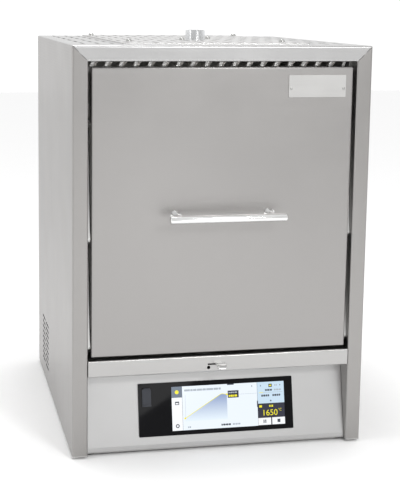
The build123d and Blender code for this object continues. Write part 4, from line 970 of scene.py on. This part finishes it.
cameraLook = {
    # fitted to the furnace's edges and corners, with a shift small enough for the other views
    "place": (-0.36976, -1.5905, 0.5737),
    "yaw": 11.2119,
    "pitch": 8.1702,
    "roll": 0.539,
    "lens": 85.167,
    "shift": (0.10, -0.15),
    "sensor": 36,
    "near": 0.05,
}
floorLook = {"half": 6.0, "tint": (0.98, 0.98, 0.98), "grain": 40, "roughness": 0.9}
lightLook = {
    # name: place, aim, width, height, power, turn in degrees
    "keyLight": ((0.45, -1.7, 1.15), (0, -0.2, 0.1), 0.35, 0.25, 10, 0),
    "topLight": ((-0.2, 0.0, 2.0), (0, 0, 0.5), 0.5, 0.5, 9, 0),
    "cardLight": ((0.13, -1.354, 0.185), (-0.09, -0.18, 0.07), 0.20, 0.06, 0.14, 28),
    "leftStrip": ((-1.35, -0.45, 0.35), (-0.19, -0.2, 0.3), 0.16, 1.1, 1.6, 0),
}
skyLook = {
    # brightness of the room before and behind the furnace, and where one turns into the other
    "From Min": -0.75,
    "From Max": 0.35,
    "To Min": 0.76,
    "To Max": 1.08,
}


def makeCamera():
    yaw, pitch, roll = (math.radians(cameraLook[key]) for key in ("yaw", "pitch", "roll"))
    ahead = Vector((math.sin(yaw) * math.cos(pitch), math.cos(yaw) * math.cos(pitch), -math.sin(pitch)))
    right = Vector((math.cos(yaw), -math.sin(yaw), 0))
    up = right.cross(ahead)
    across = right * math.cos(roll) + up * math.sin(roll)
    upward = up * math.cos(roll) - right * math.sin(roll)
    data = bpy.data.cameras.new("camera")
    camera = bpy.data.objects.new("camera", data)
    bpy.context.scene.collection.objects.link(camera)
    turn = Matrix((across, upward, -ahead)).transposed().to_4x4()
    camera.matrix_world = Matrix.Translation(cameraLook["place"]) @ turn
    data.lens = cameraLook["lens"]
    data.sensor_width = cameraLook["sensor"]
    data.shift_x, data.shift_y = cameraLook["shift"]
    data.clip_start = cameraLook["near"]
    bpy.context.scene.camera = camera


def makeFloor():
    mesh = bpy.data.meshes.new("floor")
    half = floorLook["half"]
    corners = [(x * half, y * half, 0) for x, y in ((-1, -1), (1, -1), (1, 1), (-1, 1))]
    mesh.from_pydata(corners, [], [(0, 1, 2, 3)])
    floor = bpy.data.objects.new("floor", mesh)
    bpy.context.scene.collection.objects.link(floor)
    paint = Paint("floorPaper")
    grain = paint.noise(floorLook["grain"], 3)
    tint = paint.tone(floorLook["tint"], 0.99 + grain * 0.02)
    mesh.materials.append(paint.finish(Base_Color=tint, Roughness=floorLook["roughness"]))


def makeLights():
    for name, (place, aim, width, height, power, turn) in lightLook.items():
        data = bpy.data.lights.new(name, "AREA")
        data.shape = "RECTANGLE"
        data.size = width
        data.size_y = height
        data.energy = power
        lamp = bpy.data.objects.new(name, data)
        bpy.context.scene.collection.objects.link(lamp)
        lamp.location = place
        lamp.rotation_mode = "QUATERNION"
        facing = (Vector(aim) - Vector(place)).to_track_quat("-Z", "Y")
        lamp.rotation_quaternion = facing @ Quaternion((0, 0, 1), math.radians(turn))
        lamp.visible_camera = False


def makeRoom():
    # white behind the furnace and dimmer in front of it, with a backdrop that is white all round
    world = bpy.data.worlds.new("studio")
    world.use_nodes = True
    tree = world.node_tree
    place = tree.nodes.new("ShaderNodeTexCoord")
    split = tree.nodes.new("ShaderNodeSeparateXYZ")
    share = tree.nodes.new("ShaderNodeMapRange")
    share.interpolation_type = "SMOOTHSTEP"
    for key, value in skyLook.items():
        share.inputs[key].default_value = value
    tree.links.new(place.outputs["Generated"], split.inputs[0])
    tree.links.new(split.outputs["Y"], share.inputs["Value"])
    seen = tree.nodes.new("ShaderNodeLightPath")
    brighter = tree.nodes.new("ShaderNodeMath")
    brighter.operation = "MAXIMUM"
    tree.links.new(share.outputs["Result"], brighter.inputs[0])
    tree.links.new(seen.outputs["Is Camera Ray"], brighter.inputs[1])
    tree.links.new(brighter.outputs[0], tree.nodes["Background"].inputs["Color"])
    bpy.context.scene.world = world
    bpy.context.scene.view_settings.view_transform = "Standard"


makeCamera()
makeFloor()
makeLights()
makeRoom()
print("camera, floor and lights set")
